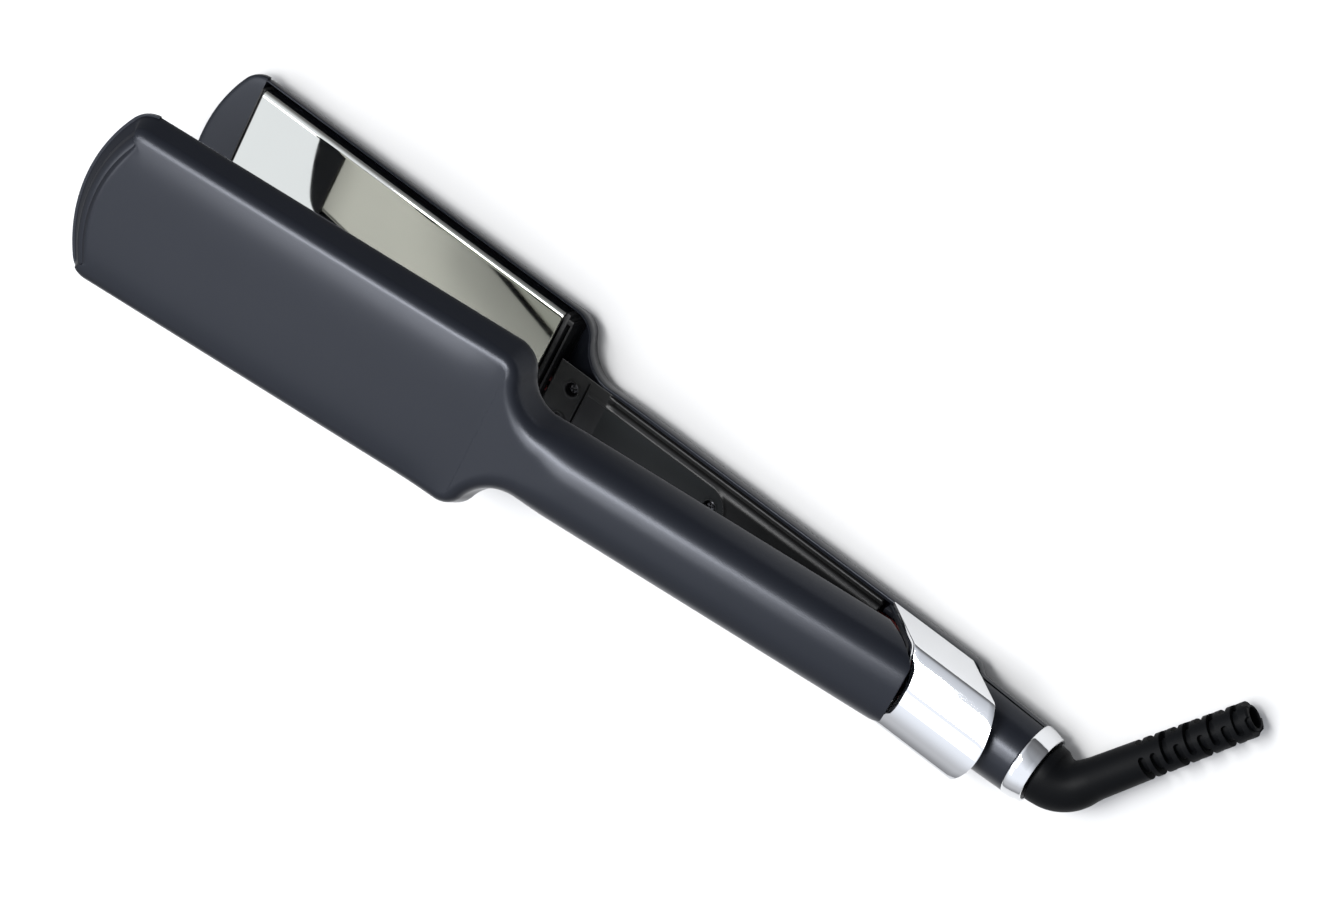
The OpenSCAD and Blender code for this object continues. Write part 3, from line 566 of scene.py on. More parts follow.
@dataclass(frozen=True)
class ClearMould:
    """Clear moulded plastic with a faint frost."""

    name: str = "light_pipe_clear"

    def make(self) -> bpy.types.Material:
        """Builds the material."""
        g = Surface(self.name, Transmission_Weight=0.7, IOR=1.49)
        g.tone(0.4, 3.0, (0.62, 0.66, 0.7), (0.75, 0.78, 0.8))
        g.gloss(g.noise(1.2), 0.12, 0.3)
        return g.material


class Palette:
    """Every finish on the tool, made once."""

    RECIPES = {
        "satin": Moulded("satin_black", (0.0052, 0.0060, 0.0084), (0.0062, 0.0071, 0.0098), (0.275, 0.292), 5.0, 0.003,
                         0.0, 0.004, 0.24, (0.86, 0.90, 1.0)),
        "liner": Moulded("liner_matte", (0.0065, 0.0066, 0.0067), (0.0095, 0.0096, 0.0097), (0.34, 0.42), 3.2, 0.012,
                         0.0, 0.010, 0.26),
        "panel": Moulded("panel_dark", (0.0065, 0.0080, 0.0085), (0.0090, 0.0105, 0.0112), (0.40, 0.48), 4.0, 0.012,
                         0.0, 0.008, 0.22),
        "heat": Moulded("heat_resistant_black", (0.008, 0.008, 0.0085), (0.012, 0.012, 0.0125), (0.38, 0.5), 3.5,
                        0.014, 0.0, 0.008, 0.25),
        "rubber": Moulded("soft_rubber", (0.0018, 0.0020, 0.0024), (0.0030, 0.0033, 0.0038), (0.42, 0.52), 4.0, 0.012,
                          0.03, 0.002, 0.04),
        "sleeve": Moulded("lead_sleeve", (0.16, 0.014, 0.012), (0.20, 0.022, 0.018), (0.42, 0.55), 3.0, 0.01, 0.0,
                          0.02),
        "ceramic": Moulded("heater_ceramic", (0.62, 0.58, 0.50), (0.70, 0.67, 0.60), (0.55, 0.7), 4.0, 0.02, 0.0,
                           0.03),
        "plate": Polished("plate_mirror", (0.60, 0.60, 0.555), (0.62, 0.62, 0.575), (0.02, 0.045), 0.0003),
        "chrome": Polished("bright_chrome", (0.70, 0.705, 0.712), (0.73, 0.735, 0.742), (0.02, 0.045), 0.0002,
                           (1.0, 1.0, 1.0), 0.03),
        "steel": Polished("spring_steel", (0.46, 0.47, 0.49), (0.56, 0.57, 0.58), (0.24, 0.4), 0.004,
                          (0.05, 1.0, 1.0), 0.0, 0.002),
        "screw": Polished("black_zinc", (0.045, 0.045, 0.05), (0.08, 0.08, 0.085), (0.3, 0.45), 0.004,
                          (1.0, 1.0, 1.0), 0.0, 0.003),
        "brass": Polished("contact_brass", (0.60, 0.42, 0.17), (0.70, 0.52, 0.24), (0.2, 0.36), 0.003,
                          (0.1, 1.0, 1.0)),
        "board": Board(),
        "clear": ClearMould(),
    }

    def __init__(self) -> None:
        """Starts with nothing made."""
        self.made: dict[str, bpy.types.Material] = {}

    def __getitem__(self, key: str) -> bpy.types.Material:
        """Returns a finish, making it the first time."""
        if key not in self.made:
            self.made[key] = self.RECIPES[key].make()
        return self.made[key]


PALETTE = Palette()


def dress(made: bpy.types.Object, finish: str, body: Body, slot: str, *nodes: str) -> bpy.types.Object:
    """Gives a piece its finish, its body and the frame nodes that it stands for.

    Args:
        made: The finished piece.
        finish: Name of the finish in the palette.
        body: The body that it rides on.
        slot: The record's material slot; not used.
        nodes: Frame nodes that it replaces.

    Returns:
        The same piece.
    """
    made.data.materials.clear()
    made.data.materials.append(PALETTE[finish])
    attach(made, body.value)
    if nodes:
        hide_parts(*nodes)
    LOG.info("%s: %d faces on %s", made.name, len(made.data.polygons), body.value)
    return made


# --- repeats


def repeated(name: str, piece: bpy.types.Object, points: Points, turns: Points, finish: str) -> bpy.types.Object:
    """Copies a piece onto points with Geometry Nodes, each copy with its own turn.

    Args:
        name: Name of the result.
        piece: The piece to copy, centred on the origin; it is dropped afterwards.
        points: Places, in millimetres, already in the frame's axes.
        turns: Rotation of each copy, in radians.
        finish: Name of the finish.

    Returns:
        One object with every copy, as plain mesh.
    """
    tree = bpy.data.node_groups.new(name + "_repeat", "GeometryNodeTree")
    kinds = {"Geometry": "Geometry", "Piece": "Object", "Size": "Float", "Finish": "Material"}
    ids = {label: tree.interface.new_socket(label, in_out="INPUT", socket_type="NodeSocket" + kind).identifier
           for label, kind in kinds.items()}
    tree.interface.new_socket("Geometry", in_out="OUTPUT", socket_type="NodeSocketGeometry")
    g = Graph(tree)
    entry = g.add("NodeGroupInput")
    info = g.add("GeometryNodeObjectInfo", {"As Instance": True})
    turn = g.add("GeometryNodeInputNamedAttribute", {"Name": "turn"}, data_type="FLOAT_VECTOR")
    copy = g.add("GeometryNodeInstanceOnPoints")
    real = g.add("GeometryNodeRealizeInstances")
    paint = g.add("GeometryNodeSetMaterial")
    g.join((entry, "Geometry", copy, "Points"), (entry, "Piece", info, "Object"), (info, "Geometry", copy, "Instance"),
           (turn, "Attribute", copy, "Rotation"), (entry, "Size", copy, "Scale"), (copy, "Instances", real, 0),
           (real, 0, paint, "Geometry"), (entry, "Finish", paint, "Material"), (paint, 0, g.add("NodeGroupOutput"), 0))
    mesh = bpy.data.meshes.new(name)
    mesh.from_pydata((np.asarray(points) * MM).tolist(), [], [])
    spin = mesh.attributes.new("turn", "FLOAT_VECTOR", "POINT")
    spin.data.foreach_set("vector", np.asarray(turns, np.float32).ravel())
    made = linked(name, mesh)
    modifier = made.modifiers.new("repeat", "NODES")
    modifier.node_group = tree
    for label, value in (("Piece", piece), ("Size", 1.0), ("Finish", PALETTE[finish])):
        modifier[ids[label]] = value
    settle(made)
    bpy.data.objects.remove(piece)
    return made


# --- arms


@dataclass
class ArmShell:
    """One arm's moulded shell: a trough with a wide head, an S-shaped neck and a crowned grip."""

    side: Side
    rim_round: float = 0.45
    inner_round: float = 0.25
    end_round: float = 0.35
    step: float = 0.35
    crown: float = 1.25
    crown_reach: float = 22.4
    crown_from: float = 14.0
    crown_fade: float = 24.0
    nose_end: float = -54.0
    scoop_w: float = 8.4
    scoop_end_w: float = 2.4
    scoop_turn: tuple[float, float] = (0.42, 0.5)
    scoop_low: float = 0.9
    scoop_cap: float = 0.5
    scoop_soft: float = 0.45
    scoop_end: float = -64.0
    scoop_fade: float = 8.0
    stretch_from: float = 10.0
    end_gap: float = 1.1
    lip: tuple[float, ...] = (0.74, 0.80, 0.86, 0.95)
    deck_end: float = -61.6
    deck_t: float = 1.8
    nose: Points = field(default_factory=lambda: np.zeros((1, 3)))

    @property
    def rise(self) -> float:
        """How far the grip's crown stands out from the head's face."""
        return SIZES.crown if self.side is Side.UPPER else 0.0

    def outline(self) -> tuple[Points, Points]:
        """Returns the rim's plan on the +Y side from the tip's middle, and its outward normals."""
        s = SIZES
        tip_c = s.tip_x + s.tip_r
        corner_x = tip_c - math.sqrt((s.tip_r - s.corner_r) ** 2 - (s.head_half_w - s.corner_r) ** 2)
        corner_y = s.head_half_w - s.corner_r
        tip_a = math.atan2(corner_y, corner_x - tip_c)
        points: list[tuple[float, float, float, float]] = []
        right = math.pi / 2

        def arc(cx: float, cy: float, r: float, a0: float, a1: float, n: int, inward: float = 1.0) -> None:
            for k in range(n + 1):
                a = mix(a0, a1, k / n)
                c, sn = math.cos(a), math.sin(a)
                points.append((cx + r * c, cy + r * sn, inward * c, inward * sn))

        arc(tip_c, 0, s.tip_r, math.pi, tip_a, 46)
        arc(corner_x, corner_y, s.corner_r, tip_a, right, 22)
        near = np.arange(corner_x + 0.6, corner_x + 11, 0.6)
        far = np.linspace(corner_x + 12, s.head_end - 0.5, 26)
        points += [(x, s.head_half_w, 0, 1) for x in (*near, *far)]
        neck = s.neck_angle
        arc(s.head_end, s.head_half_w - s.neck_out_r, s.neck_out_r, right, right - neck, 22)
        arc(s.neck_end, s.grip_half_w + s.neck_in_r, s.neck_in_r, 1.5 * math.pi - neck, 1.5 * math.pi, 22, -1)
        points += [(x, y, 0, 1) for x, y in self.grip_line()]
        table = np.array(points)
        table = table[np.r_[True, np.linalg.norm(np.diff(table[:, :2], axis=0), axis=1) > 1e-4]]
        return table[:, :2], table[:, 2:]

    def grip_line(self) -> list[tuple[float, float]]:
        """Plan points of the grip, and of the tail on the lower arm."""
        s = SIZES
        if self.side is Side.UPPER:
            return [(x, s.grip_half_w) for x in np.linspace(s.neck_end + 1.5, s.arm_end, 46)]
        line = [(x, s.grip_half_w) for x in np.linspace(s.neck_end + 1.5, s.tail_start, 46)]
        for x in (*np.linspace(s.tail_start, s.tail_start + 5, 14)[1:], *np.linspace(s.tail_start + 6, s.tail_x, 16)):
            cone = mix(s.tail_r, s.tail_end_r, (x - s.tail_start - 5) / (s.tail_x - s.tail_start - 5))
            line.append((x, float(mix(s.grip_half_w, cone, smooth((x - s.tail_start) / 5)))))
        return line

    def section(self, x: float, t: Points) -> tuple[Points, Points]:
        """The wall's inset and height.

        Args:
            x: Place along the tool.
            t: 0 at the rim, 1 where the wall runs into the back.

        Returns:
            Inset from the rim's plan and height, one for each t.
        """
        s = SIZES
        bend = np.clip((t - 1 / 7) * 7 / 6, 0, 1)
        a = mix(s.lean_angle, math.pi / 2, bend)
        inset = s.edge_inset - s.head_edge_r * np.cos(a)
        height = s.head_edge_r * (1 - np.sin(a))
        lead = np.clip(t * 7, 0, 1)
        head = np.stack([mix(0.0, inset, lead), mix(s.rim_z, height, lead)])
        g = t * math.pi / 2
        grip = np.stack([s.grip_half_w * (1 - np.cos(g) ** s.grip_power),
                         s.rim_z - (s.rim_z + self.rise) * np.sin(g) ** s.grip_power])
        blend = smooth((x - s.head_end - 6) / (s.neck_end - s.head_end + 6))
        both = mix(head, grip, blend)
        tail = np.stack([s.tail_r * (1 - np.cos(g)), s.tail_z - s.tail_r * np.sin(g)])
        both = mix(both, tail, smooth((x - s.tail_start) / 5))
        return both[0], both[1]

    def scooped(self, p: Points) -> Points:
        """Cuts the crescent at the tip into the upper arm's back."""
        if self.side is Side.LOWER:
            return p
        away = np.hypot(p[:, :1] - self.nose[:, 0], p[:, 1:2] - self.nose[:, 1])
        ahead = np.min(away, axis=1)
        aside = self.nose[np.argmin(away, axis=1), 2]
        turn, span = self.scoop_turn
        width = mix(self.scoop_w, self.scoop_end_w, smooth((aside - turn) / span))
        apart = (SIZES.rim_z - self.scoop_low) * (1 - ahead / width) - p[:, 2]
        out = p.copy()
        lift = 0.5 * (apart + np.sqrt(apart * apart + self.scoop_soft))
        out[:, 2] += lift * (1 - smooth((p[:, 0] - self.scoop_end) / self.scoop_fade))
        out[:, 2] = np.minimum(out[:, 2], np.maximum(p[:, 2], SIZES.rim_z - self.scoop_cap))
        return out

    def arm_end(self, z: Points) -> Points:
        """X of the upper arm's leaning end at each height."""
        s = SIZES
        up = 2 * s.close_z - z
        lean = s.cover_front(up) - self.end_gap
        return np.minimum(lean, s.arm_end - s.arm_round * np.maximum(0, 2 * s.close_z + s.crown - up) ** 2)

    def row(self, at: Points, normal: Points, back: float = 0.0, pinch: float = 0.0) -> Points:
        """One row of points round the wall, from the back's middle over the rim to the inner middle.

        Args:
            at: Plan point of the rim.
            normal: Its outward normal.
            back: How far the row stands back from the arm's end, at the last rows.
            pinch: How far both faces close in, for the end's rounding.

        Returns:
            The row's points.
        """
        s = SIZES
        x = at[0]
        t = np.r_[np.linspace(1, 0.16, 22), np.linspace(0.14, 0.035, 5)]
        inset, z = self.section(x, t)
        rim = quarter(6)
        z = np.r_[z, s.rim_z - self.rim_round * (1 - np.sin(rim))]
        inset = np.r_[inset, inset[-1] + self.rim_round * (1 - np.cos(rim))]
        inset = inset + pinch * np.linspace(0.3, 1, len(inset))
        outer = np.stack([at[0] - normal[0] * inset, at[1] - normal[1] * inset, z], 1)
        outer[:, 1] = np.maximum(outer[:, 1], 0)
        edge = outer[0]
        floor = np.linspace((edge[0], 0.0, edge[2]), edge, 58)[:-1]
        flat = self.crown * (1 - smooth((edge[0] - s.head_end + self.crown_from) / self.crown_fade))
        floor[:, 2] += flat * (floor[:, 1] / self.crown_reach) ** 4
        rise = flat * (outer[:, 1] / self.crown_reach) ** 4
        outer[:, 2] += rise * np.clip(1 - (outer[:, 2] / (s.rim_z - 1)), 0, 1) ** 1.5
        turn = quarter(5)[::-1]
        lip_in = np.r_[self.lip, s.wall - self.inner_round + self.inner_round * np.cos(turn)]
        lip_z = s.rim_z - np.r_[0.0, 0.03, self.step - 0.03, self.step,
                                self.step + self.inner_round * (1 - np.sin(turn))]
        in_inset, in_z = self.section(x, np.linspace(0.06, 1, 16))
        low = in_z[-1]
        in_z = np.minimum(mix(low + s.wall, s.rim_z, (in_z - low) / (s.rim_z - low)), lip_z[-1] - 0.02)
        depth = np.r_[lip_in - pinch, in_inset + s.wall - pinch]
        inner = np.stack([at[0] - normal[0] * depth, at[1] - normal[1] * depth, np.r_[lip_z, in_z]], 1)
        inner[:, 1] = np.maximum(inner[:, 1], 0)
        floor_in = inner[-1] * np.c_[np.ones(5), np.linspace(0.8, 0, 5), np.ones(5)]
        whole = np.r_[self.scooped(np.r_[floor, outer]), inner, floor_in]
        start = s.neck_end + self.stretch_from
        if self.side is Side.UPPER and x > start:
            whole[:, 0] = mix(start, self.arm_end(whole[:, 2]) - back, (x - start) / (s.arm_end - start))
        return whole

    def deck(self) -> Skin:
        """The closed deck of the nose, ahead of the plate."""
        plan, normal = self.outline()
        insets = np.array([0.05, 0.2, 0.5, 1.0, 1.8, 3.0])
        heights = SIZES.rim_z + np.array([-0.75, -0.3, -0.02, 0.14, 0.22, 0.26])
        rows = []
        for (px, py), (nx, ny) in zip(plan, normal):
            if px >= self.deck_end:
                continue
            edge = [(px - nx * i, max(0.0, py - ny * i), h) for i, h in zip(insets, heights)]
            x, y, z = edge[-1]
            rows.append(edge + [(min(x, self.deck_end), y * f, z) for f in np.linspace(1, 0, 8)[1:]])
        rows.append([(self.deck_end, y, z) for _, y, z in rows[-1]])
        top = np.array(rows)
        top[..., 0] = np.minimum(top[..., 0], self.deck_end)
        low = top.copy()
        low[..., 2] = SIZES.rim_z - self.deck_t
        skin = Skin()
        n, m = top.shape[:2]
        a, b = skin.grid(top), skin.grid(low)
        skin.join(a, b, [(i * m, (i + 1) * m) for i in range(n - 1)])
        skin.join(a, b, [((n - 1) * m + j, (n - 1) * m + j + 1) for j in range(m - 1)])
        return skin.mirrored()

    def build(self) -> None:
        """Makes the shell and dresses it."""
        plan, normal = self.outline()
        self.nose = np.c_[plan, normal[:, 1]][plan[:, 0] < self.nose_end]
        rows = [self.row(p, n) for p, n in zip(plan[:-1], normal[:-1])]
        for a in quarter(5):
            back = self.end_round * (1 - math.sin(a))
            rows.append(self.row(plan[-1], normal[-1], back, self.end_round * (1 - math.cos(a))))
            if self.side is Side.LOWER:
                rows[-1][:, 0] -= back
        skin = Skin()
        grid = np.array(rows)
        m = grid.shape[1]
        last = skin.grid(grid) + (len(rows) - 1) * m
        skin.faces.append([last + j for j in range(m)])
        both = skin.mirrored()
        both.merge(self.deck())
        made = both.build(f"{self.side.value}_arm_shell", self.side)
        dress(made, "satin", self.side.body, "satin_black", f"{self.side.value}_shell")


@dataclass
class HeatedPlate:
    """A polished plate: a channel with rounded long edges."""

    side: Side
    edge_r: float = 2.0
    fold: float = 5.0

    def loop(self, inset: float) -> list[tuple[float, float]]:
        """Section of the channel as (y, z), drawn in by inset."""
        s = SIZES
        half, top, low = s.plate_half_w - inset, s.plate_top - inset, s.plate_top - self.fold + inset
        r, r_in = self.edge_r - inset * 0.5, max(self.edge_r - s.plate_t, 0.4)
        half_in, top_in = s.plate_half_w - s.plate_t + inset, s.plate_top - s.plate_t + inset
        right = [(half, low)]
        right += [(half - r * (1 - math.cos(a)), top - r * (1 - math.sin(a))) for a in quarter(12)]
        flat = half - r
        right += [(y, top) for y in (flat - 0.05, flat - 0.4, flat * 0.66, flat * 0.33)]
        inner = [(-half_in, low)]
        inner += [(-half_in + r_in * (1 - math.cos(a)), top_in - r_in * (1 - math.sin(a)))
                  for a in quarter(5)]
        return both_sides(right) + both_sides(inner)

    def build(self) -> None:
        """Makes the plate."""
        half = SIZES.plate_half_len
        ends = ((0.0, 0.18), (0.06, 0.06), (0.2, 0.0))
        places = [(-half + back, inset) for back, inset in ends]
        places += [(x, 0.0) for x in (-half + 0.3, -half + 1, *np.linspace(-50, 50, 9), half - 1, half - 0.3)]
        places += [(half - back, inset) for back, inset in ends[::-1]]
        skin = Skin()
        skin.tube(np.array([[(x, y, z) for y, z in self.loop(inset)] for x, inset in places]))
        made = skin.build(f"{self.side.value}_heated_plate", self.side, 30)
        dress(made, "plate", self.side.body, "plate_mirror", f"{self.side.value}_plate")


@dataclass
class PlateHolder:
    """Black tray that carries a plate, with its tip strip, end frame and thin back rib."""

    side: Side
    floor: float = 1.5
    floor_half_w: float = 20.53
    rail_half_w: float = 24.4
    rail_t: float = 1.6
    front: float = -61.4
    back: float = 63.6
    notch: float = 7.0
    notch_h: float = 6.6
    seat_gap: float = 0.05
    edge_w: float = 0.16
    strips: tuple[tuple[float, float, float], ...] = ((-61.35, -60.75, 0.35), (-60.7, -60.25, 0.75))
    frame_x: tuple[float, float] = (60.25, 61.75)
    frame_low: float = 1.2
    rib_x: tuple[float, float] = (62.8, 63.55)

    def cross(self, top: float, side: float) -> list[tuple[float, float]]:
        """The +Y half of a cross wall that fills the tray."""
        f = self.floor
        return [(self.floor_half_w, f), (self.rail_half_w, f + 2.4), (side, f + 5), (side, top)]

    def build(self) -> None:
        """Makes the holder."""
        s = SIZES
        skin = Skin()
        seat = s.plate_top - s.plate_t - self.seat_gap
        f, w, r, t = self.floor, self.floor_half_w, self.rail_half_w, self.rail_t
        prism(skin, both_sides([(w, f), (r, f + 2.4), (r, seat), (r - t, seat), (r - t, f + 2.8), (w - 1, f + 1.6)]),
              self.front, self.back)
        for x0, x1, low in self.strips:
            prism(skin, both_sides(self.cross(s.plate_top - low, s.plate_half_w)), x0, x1)
        roof = f + self.notch_h
        for (x0, x1), top, side in ((self.frame_x, s.plate_top - self.frame_low, s.plate_half_w),
                                    (self.rib_x, s.rim_z, r)):
            right = [(self.notch, f), *self.cross(top, side), (0.0, top), (0.0, roof), (self.notch, roof)]
            prism(skin, right, x0, x1)
            prism(skin, [(-y, z) for y, z in reversed(right)], x0, x1)
        made = softened(skin.build(f"{self.side.value}_plate_tray", self.side), self.edge_w)
        dress(made, "heat", self.side.body, "heat_black", f"{self.side.value}_plate_holder")


@dataclass
class GripLiner:
    """Matte liner of a grip: a height map with ramp, recessed panel, seam, edge ribs, wells and button holes."""

    side: Side
    x0: float = 64.6
    x1: float = 186.36
    panel_end: float = 131.86
    panel_half_w: float = 7.1
    side_profile: tuple[tuple[float, ...], tuple[float, ...]] = (
        (6.3, 6.7, 7.1, 7.5, 7.9, 8.3, 8.62, 8.8, 8.9, 10.15, 10.25, 10.4, 10.6, 10.85, 11.1, 11.2, 11.3, 11.7, 11.78,
         11.9, 12.0),
        (0.0, -0.03, -0.11, -0.25, -0.44, -0.70, -0.95, -1.3, -1.9, -1.9, -0.6, -0.12, -0.10, -0.17, -0.33, -0.6, -1.7,
         -1.7, -0.8, -0.35, -0.42))
    panel_depth: float = 3.0
    ramp: float = 6.0
    lip_h: float = 0.14
    seam_depth: float = 1.0
    seam_half_w: float = 10.5
    hole_depth: float = 1.7
    screw_y: float = 5.5
    neck_screw: float = 71.86
    panel_screw: float = 125.86
    arm_screw: float = 163.86
    well_r: float = 2.0
    buttons: tuple[tuple[float, float], ...] = ((91.86, 3.3), (101.36, 2.8), (109.36, 2.8))
    pipe: tuple[float, float, float] = (115.36, 8.0, 1.7)

    @property
    def wells(self) -> list[tuple[float, float, float]]:
        """Screw wells as (x, y, floor height)."""
        made = [(self.neck_screw, self.screw_y, 7.2), (self.neck_screw, -self.screw_y, 7.2),
                (self.panel_screw, 0.0, 4.2)]
        if self.side is Side.UPPER:
            made.append((self.arm_screw, 0.0, 8.2))
        return made

    def height(self, x: Points, y: Points) -> Points:
        """Height of the liner's face at each point."""
        start = SIZES.neck_end
        z = np.full(x.shape, SIZES.liner_z)
        end_c = self.panel_end - self.panel_half_w
        past = np.maximum(x - end_c, 0)
        edge = self.panel_half_w - np.sqrt(y * y + past * past)
        down = smooth(edge / 0.5 + 0.1)
        slope = np.clip((x - (start - self.ramp)) / self.ramp, 0, 1)
        slope = mix(slope, smooth(slope), 0.35)
        z = z - self.panel_depth * down * slope
        lip = np.exp(-((edge + 0.45) / 0.35) ** 2) * (x > start - self.ramp + 0.5)
        z = z + self.lip_h * lip
        a = np.abs(y)
        run = smooth((x - start - 0.5) / 2.5)
        z = z + np.interp(a, *self.side_profile) * run
        seam = np.exp(-((x - (start - self.ramp - 0.75)) / 0.22) ** 2) * (a < self.seam_half_w)
        z = z - self.seam_depth * seam
        for wx, wy, low in self.wells:
            d = np.hypot(x - wx, y - wy)
            z = z + 0.12 * np.exp(-((d - self.well_r - 0.45) / 0.3) ** 2)
            z = mix(z, np.full(x.shape, low), 1 - smooth((d - self.well_r + 0.06) / 0.12))
        if self.side is Side.UPPER:
            for bx, r in self.buttons:
                d = np.hypot(x - bx, y)
                z = z + 0.25 * smooth((r + 1.1 - d) / 0.4) * smooth((d - r + 0.1) / 0.2)
                z = z - self.hole_depth * (1 - smooth((d - r + 0.05) / 0.12))
            px, length, half = self.pipe
            inside = smooth((x - px) / 0.15) * smooth((px + length - x) / 0.15) * smooth((half - a) / 0.15)
            z = z - self.hole_depth * inside
        return z

    def lines(self) -> tuple[Points, Points]:
        """The height map's grid lines, finer where the face has detail."""
        start = SIZES.neck_end
        xs = [np.arange(self.x0, self.x1, 1.5), np.linspace(self.x0, self.x0 + 0.4, 4),
              np.linspace(self.x1 - 0.4, self.x1, 4), np.arange(start - self.ramp - 1.3, start - self.ramp + 0.8, 0.11),
              np.arange(start - 1.5, start + 1.5, 0.3), np.arange(self.panel_end - 4, self.panel_end + 2, 0.24)]
        centres = [(w[0], self.well_r) for w in self.wells]
        if self.side is Side.UPPER:
            centres += list(self.buttons)
            px, length, _ = self.pipe
            xs += [np.linspace(px - 0.3, px + 0.3, 8), np.linspace(px + length - 0.3, px + length + 0.3, 8)]
        xs += [np.arange(c - r - 0.6, c + r + 0.6, 0.17 if r < 2.5 else 0.24) for c, r in centres]
        sides = np.r_[self.side_profile[0], np.arange(6.4, 7.6, 0.1), np.arange(9.0, 10.1, 0.25),
                      np.arange(3.4, 6.3, 0.24)]
        ys = [sides, -sides, np.arange(-3.3, 3.31, 0.22)]
        return self.spaced(np.concatenate(xs), self.x0, self.x1), \
            self.spaced(np.concatenate(ys), -SIZES.liner_half_w, SIZES.liner_half_w)

    @staticmethod
    def spaced(values: Points, low: float, high: float) -> Points:
        """Sorts values into a range and drops those that crowd."""
        values = np.sort(np.r_[values[(values > low) & (values < high)], low, high])
        keep = [values[0]]
        for v in values[1:]:
            if v - keep[-1] > 0.08:
                keep.append(v)
        keep[-1] = high
        return np.array(keep)

    def build(self) -> None:
        """Makes the liner with its darker panel floor."""
        xs, ys = self.lines()
        gx, gy = np.meshgrid(xs, ys, indexing="ij")
        top = self.height(gx, gy)
        taper = 0.15 * (1 - smooth((gx - self.x0) / 0.3)) + 0.15 * (1 - smooth((self.x1 - gx) / 0.3)) \
            + 0.12 * (1 - smooth((SIZES.liner_half_w - np.abs(gy)) / 0.15))
        top = top - taper
        half = np.abs(gy) / SIZES.liner_half_w
        low = np.minimum(top - 0.6, SIZES.liner_z - 1.7)
        skin = Skin()
        n, m = gx.shape
        a = skin.grid(np.stack([gx, gy, top], -1))
        b = skin.grid(np.stack([gx, gy * (1 - 0.07 * half ** 8), low], -1))
        skin.join(a, b, [(i * m + j, (i + 1) * m + j) for i in range(n - 1) for j in (0, m - 1)])
        skin.join(a, b, [(i * m + j, i * m + j + 1) for j in range(m - 1) for i in (0, n - 1)])
        made = skin.build(f"{self.side.value}_grip_liner", self.side, 40)
        dress(made, "liner", self.side.body, "liner_black", f"{self.side.value}_liner")
        made.data.materials.append(PALETTE["panel"])
        self.paint_panel(made)

    def paint_panel(self, made: bpy.types.Object) -> None:
        """Gives the panel's floor its own darker moulding."""
        centres = place(np.array([p.center[:] for p in made.data.polygons]) / MM, self.side, back=True)
        reach = np.hypot(centres[:, 1], np.maximum(0.0, centres[:, 0] - self.panel_end + self.panel_half_w))
        low = centres[:, 2] < SIZES.liner_z - self.panel_depth + 0.6
        inside = (centres[:, 0] > SIZES.neck_end) & (reach < self.panel_half_w - 0.75) & low
        made.data.polygons.foreach_set("material_index", inside.astype(np.int32))


@dataclass
class LinerScrews:
    """Cross-head screws that hold a liner."""

    side: Side
    head_r: float = 1.85
    head_t: float = 1.3
    shank_r: float = 1.1
    length: float = 3.4
    threads: int = 5
    pitch: float = 0.5
    cross_half: float = 1.15
    cross_half_w: float = 0.24
    cross_deep: float = 0.62

    def one(self) -> bpy.types.Object:
        """One screw, with its head's seat at the origin and its head towards +Z."""
        r, t = self.head_r, self.head_t
        skin = Skin()
        outline = [(0, -self.length), (self.shank_r * 0.6, -self.length)]
        for z in self.pitch * np.arange(1, self.threads + 1) - self.length:
            outline += [(self.shank_r - 0.2, z), (self.shank_r, z + 0.2)]
        outline += [(self.shank_r - 0.1, 0), (r - 0.1, 0), (r, 0.12), (r, 0.55), (r * 0.93, t * 0.72),
                    (r * 0.72, t * 0.92), (r * 0.4, t), (0, t)]
        turned(skin, outline, (0, 0, 0), steps=40)
        made = skin.build("liner_screw")
        cut = Skin()
        u, v = self.cross_half, self.cross_half_w
        for a in (0.0, math.pi / 2):
            c, s = math.cos(a), math.sin(a)
            cut.tube(np.array([[(x * c - y * s, x * s + y * c, z) for x, y in ((-u, -v), (u, -v), (u, v), (-u, v))]
                               for z in (t - self.cross_deep, t + 0.5)]))
        return carved(made, cut.build("cross"))

    def build(self, liner: GripLiner) -> None:
        """Puts a screw in each of a liner's wells."""
        up = math.radians(SIZES.open_deg) + math.pi if self.side is Side.UPPER else 0.0
        turns = [(0.0, up, 0.35 + 0.8 * k) for k in range(len(liner.wells))]
        made = repeated(f"{self.side.value}_liner_screws", self.one(), place(np.array(liner.wells), self.side),
                        np.array(turns), "screw")
        dress(made, "screw", self.side.body, "steel", f"{self.side.value}_screws")


# --- tail


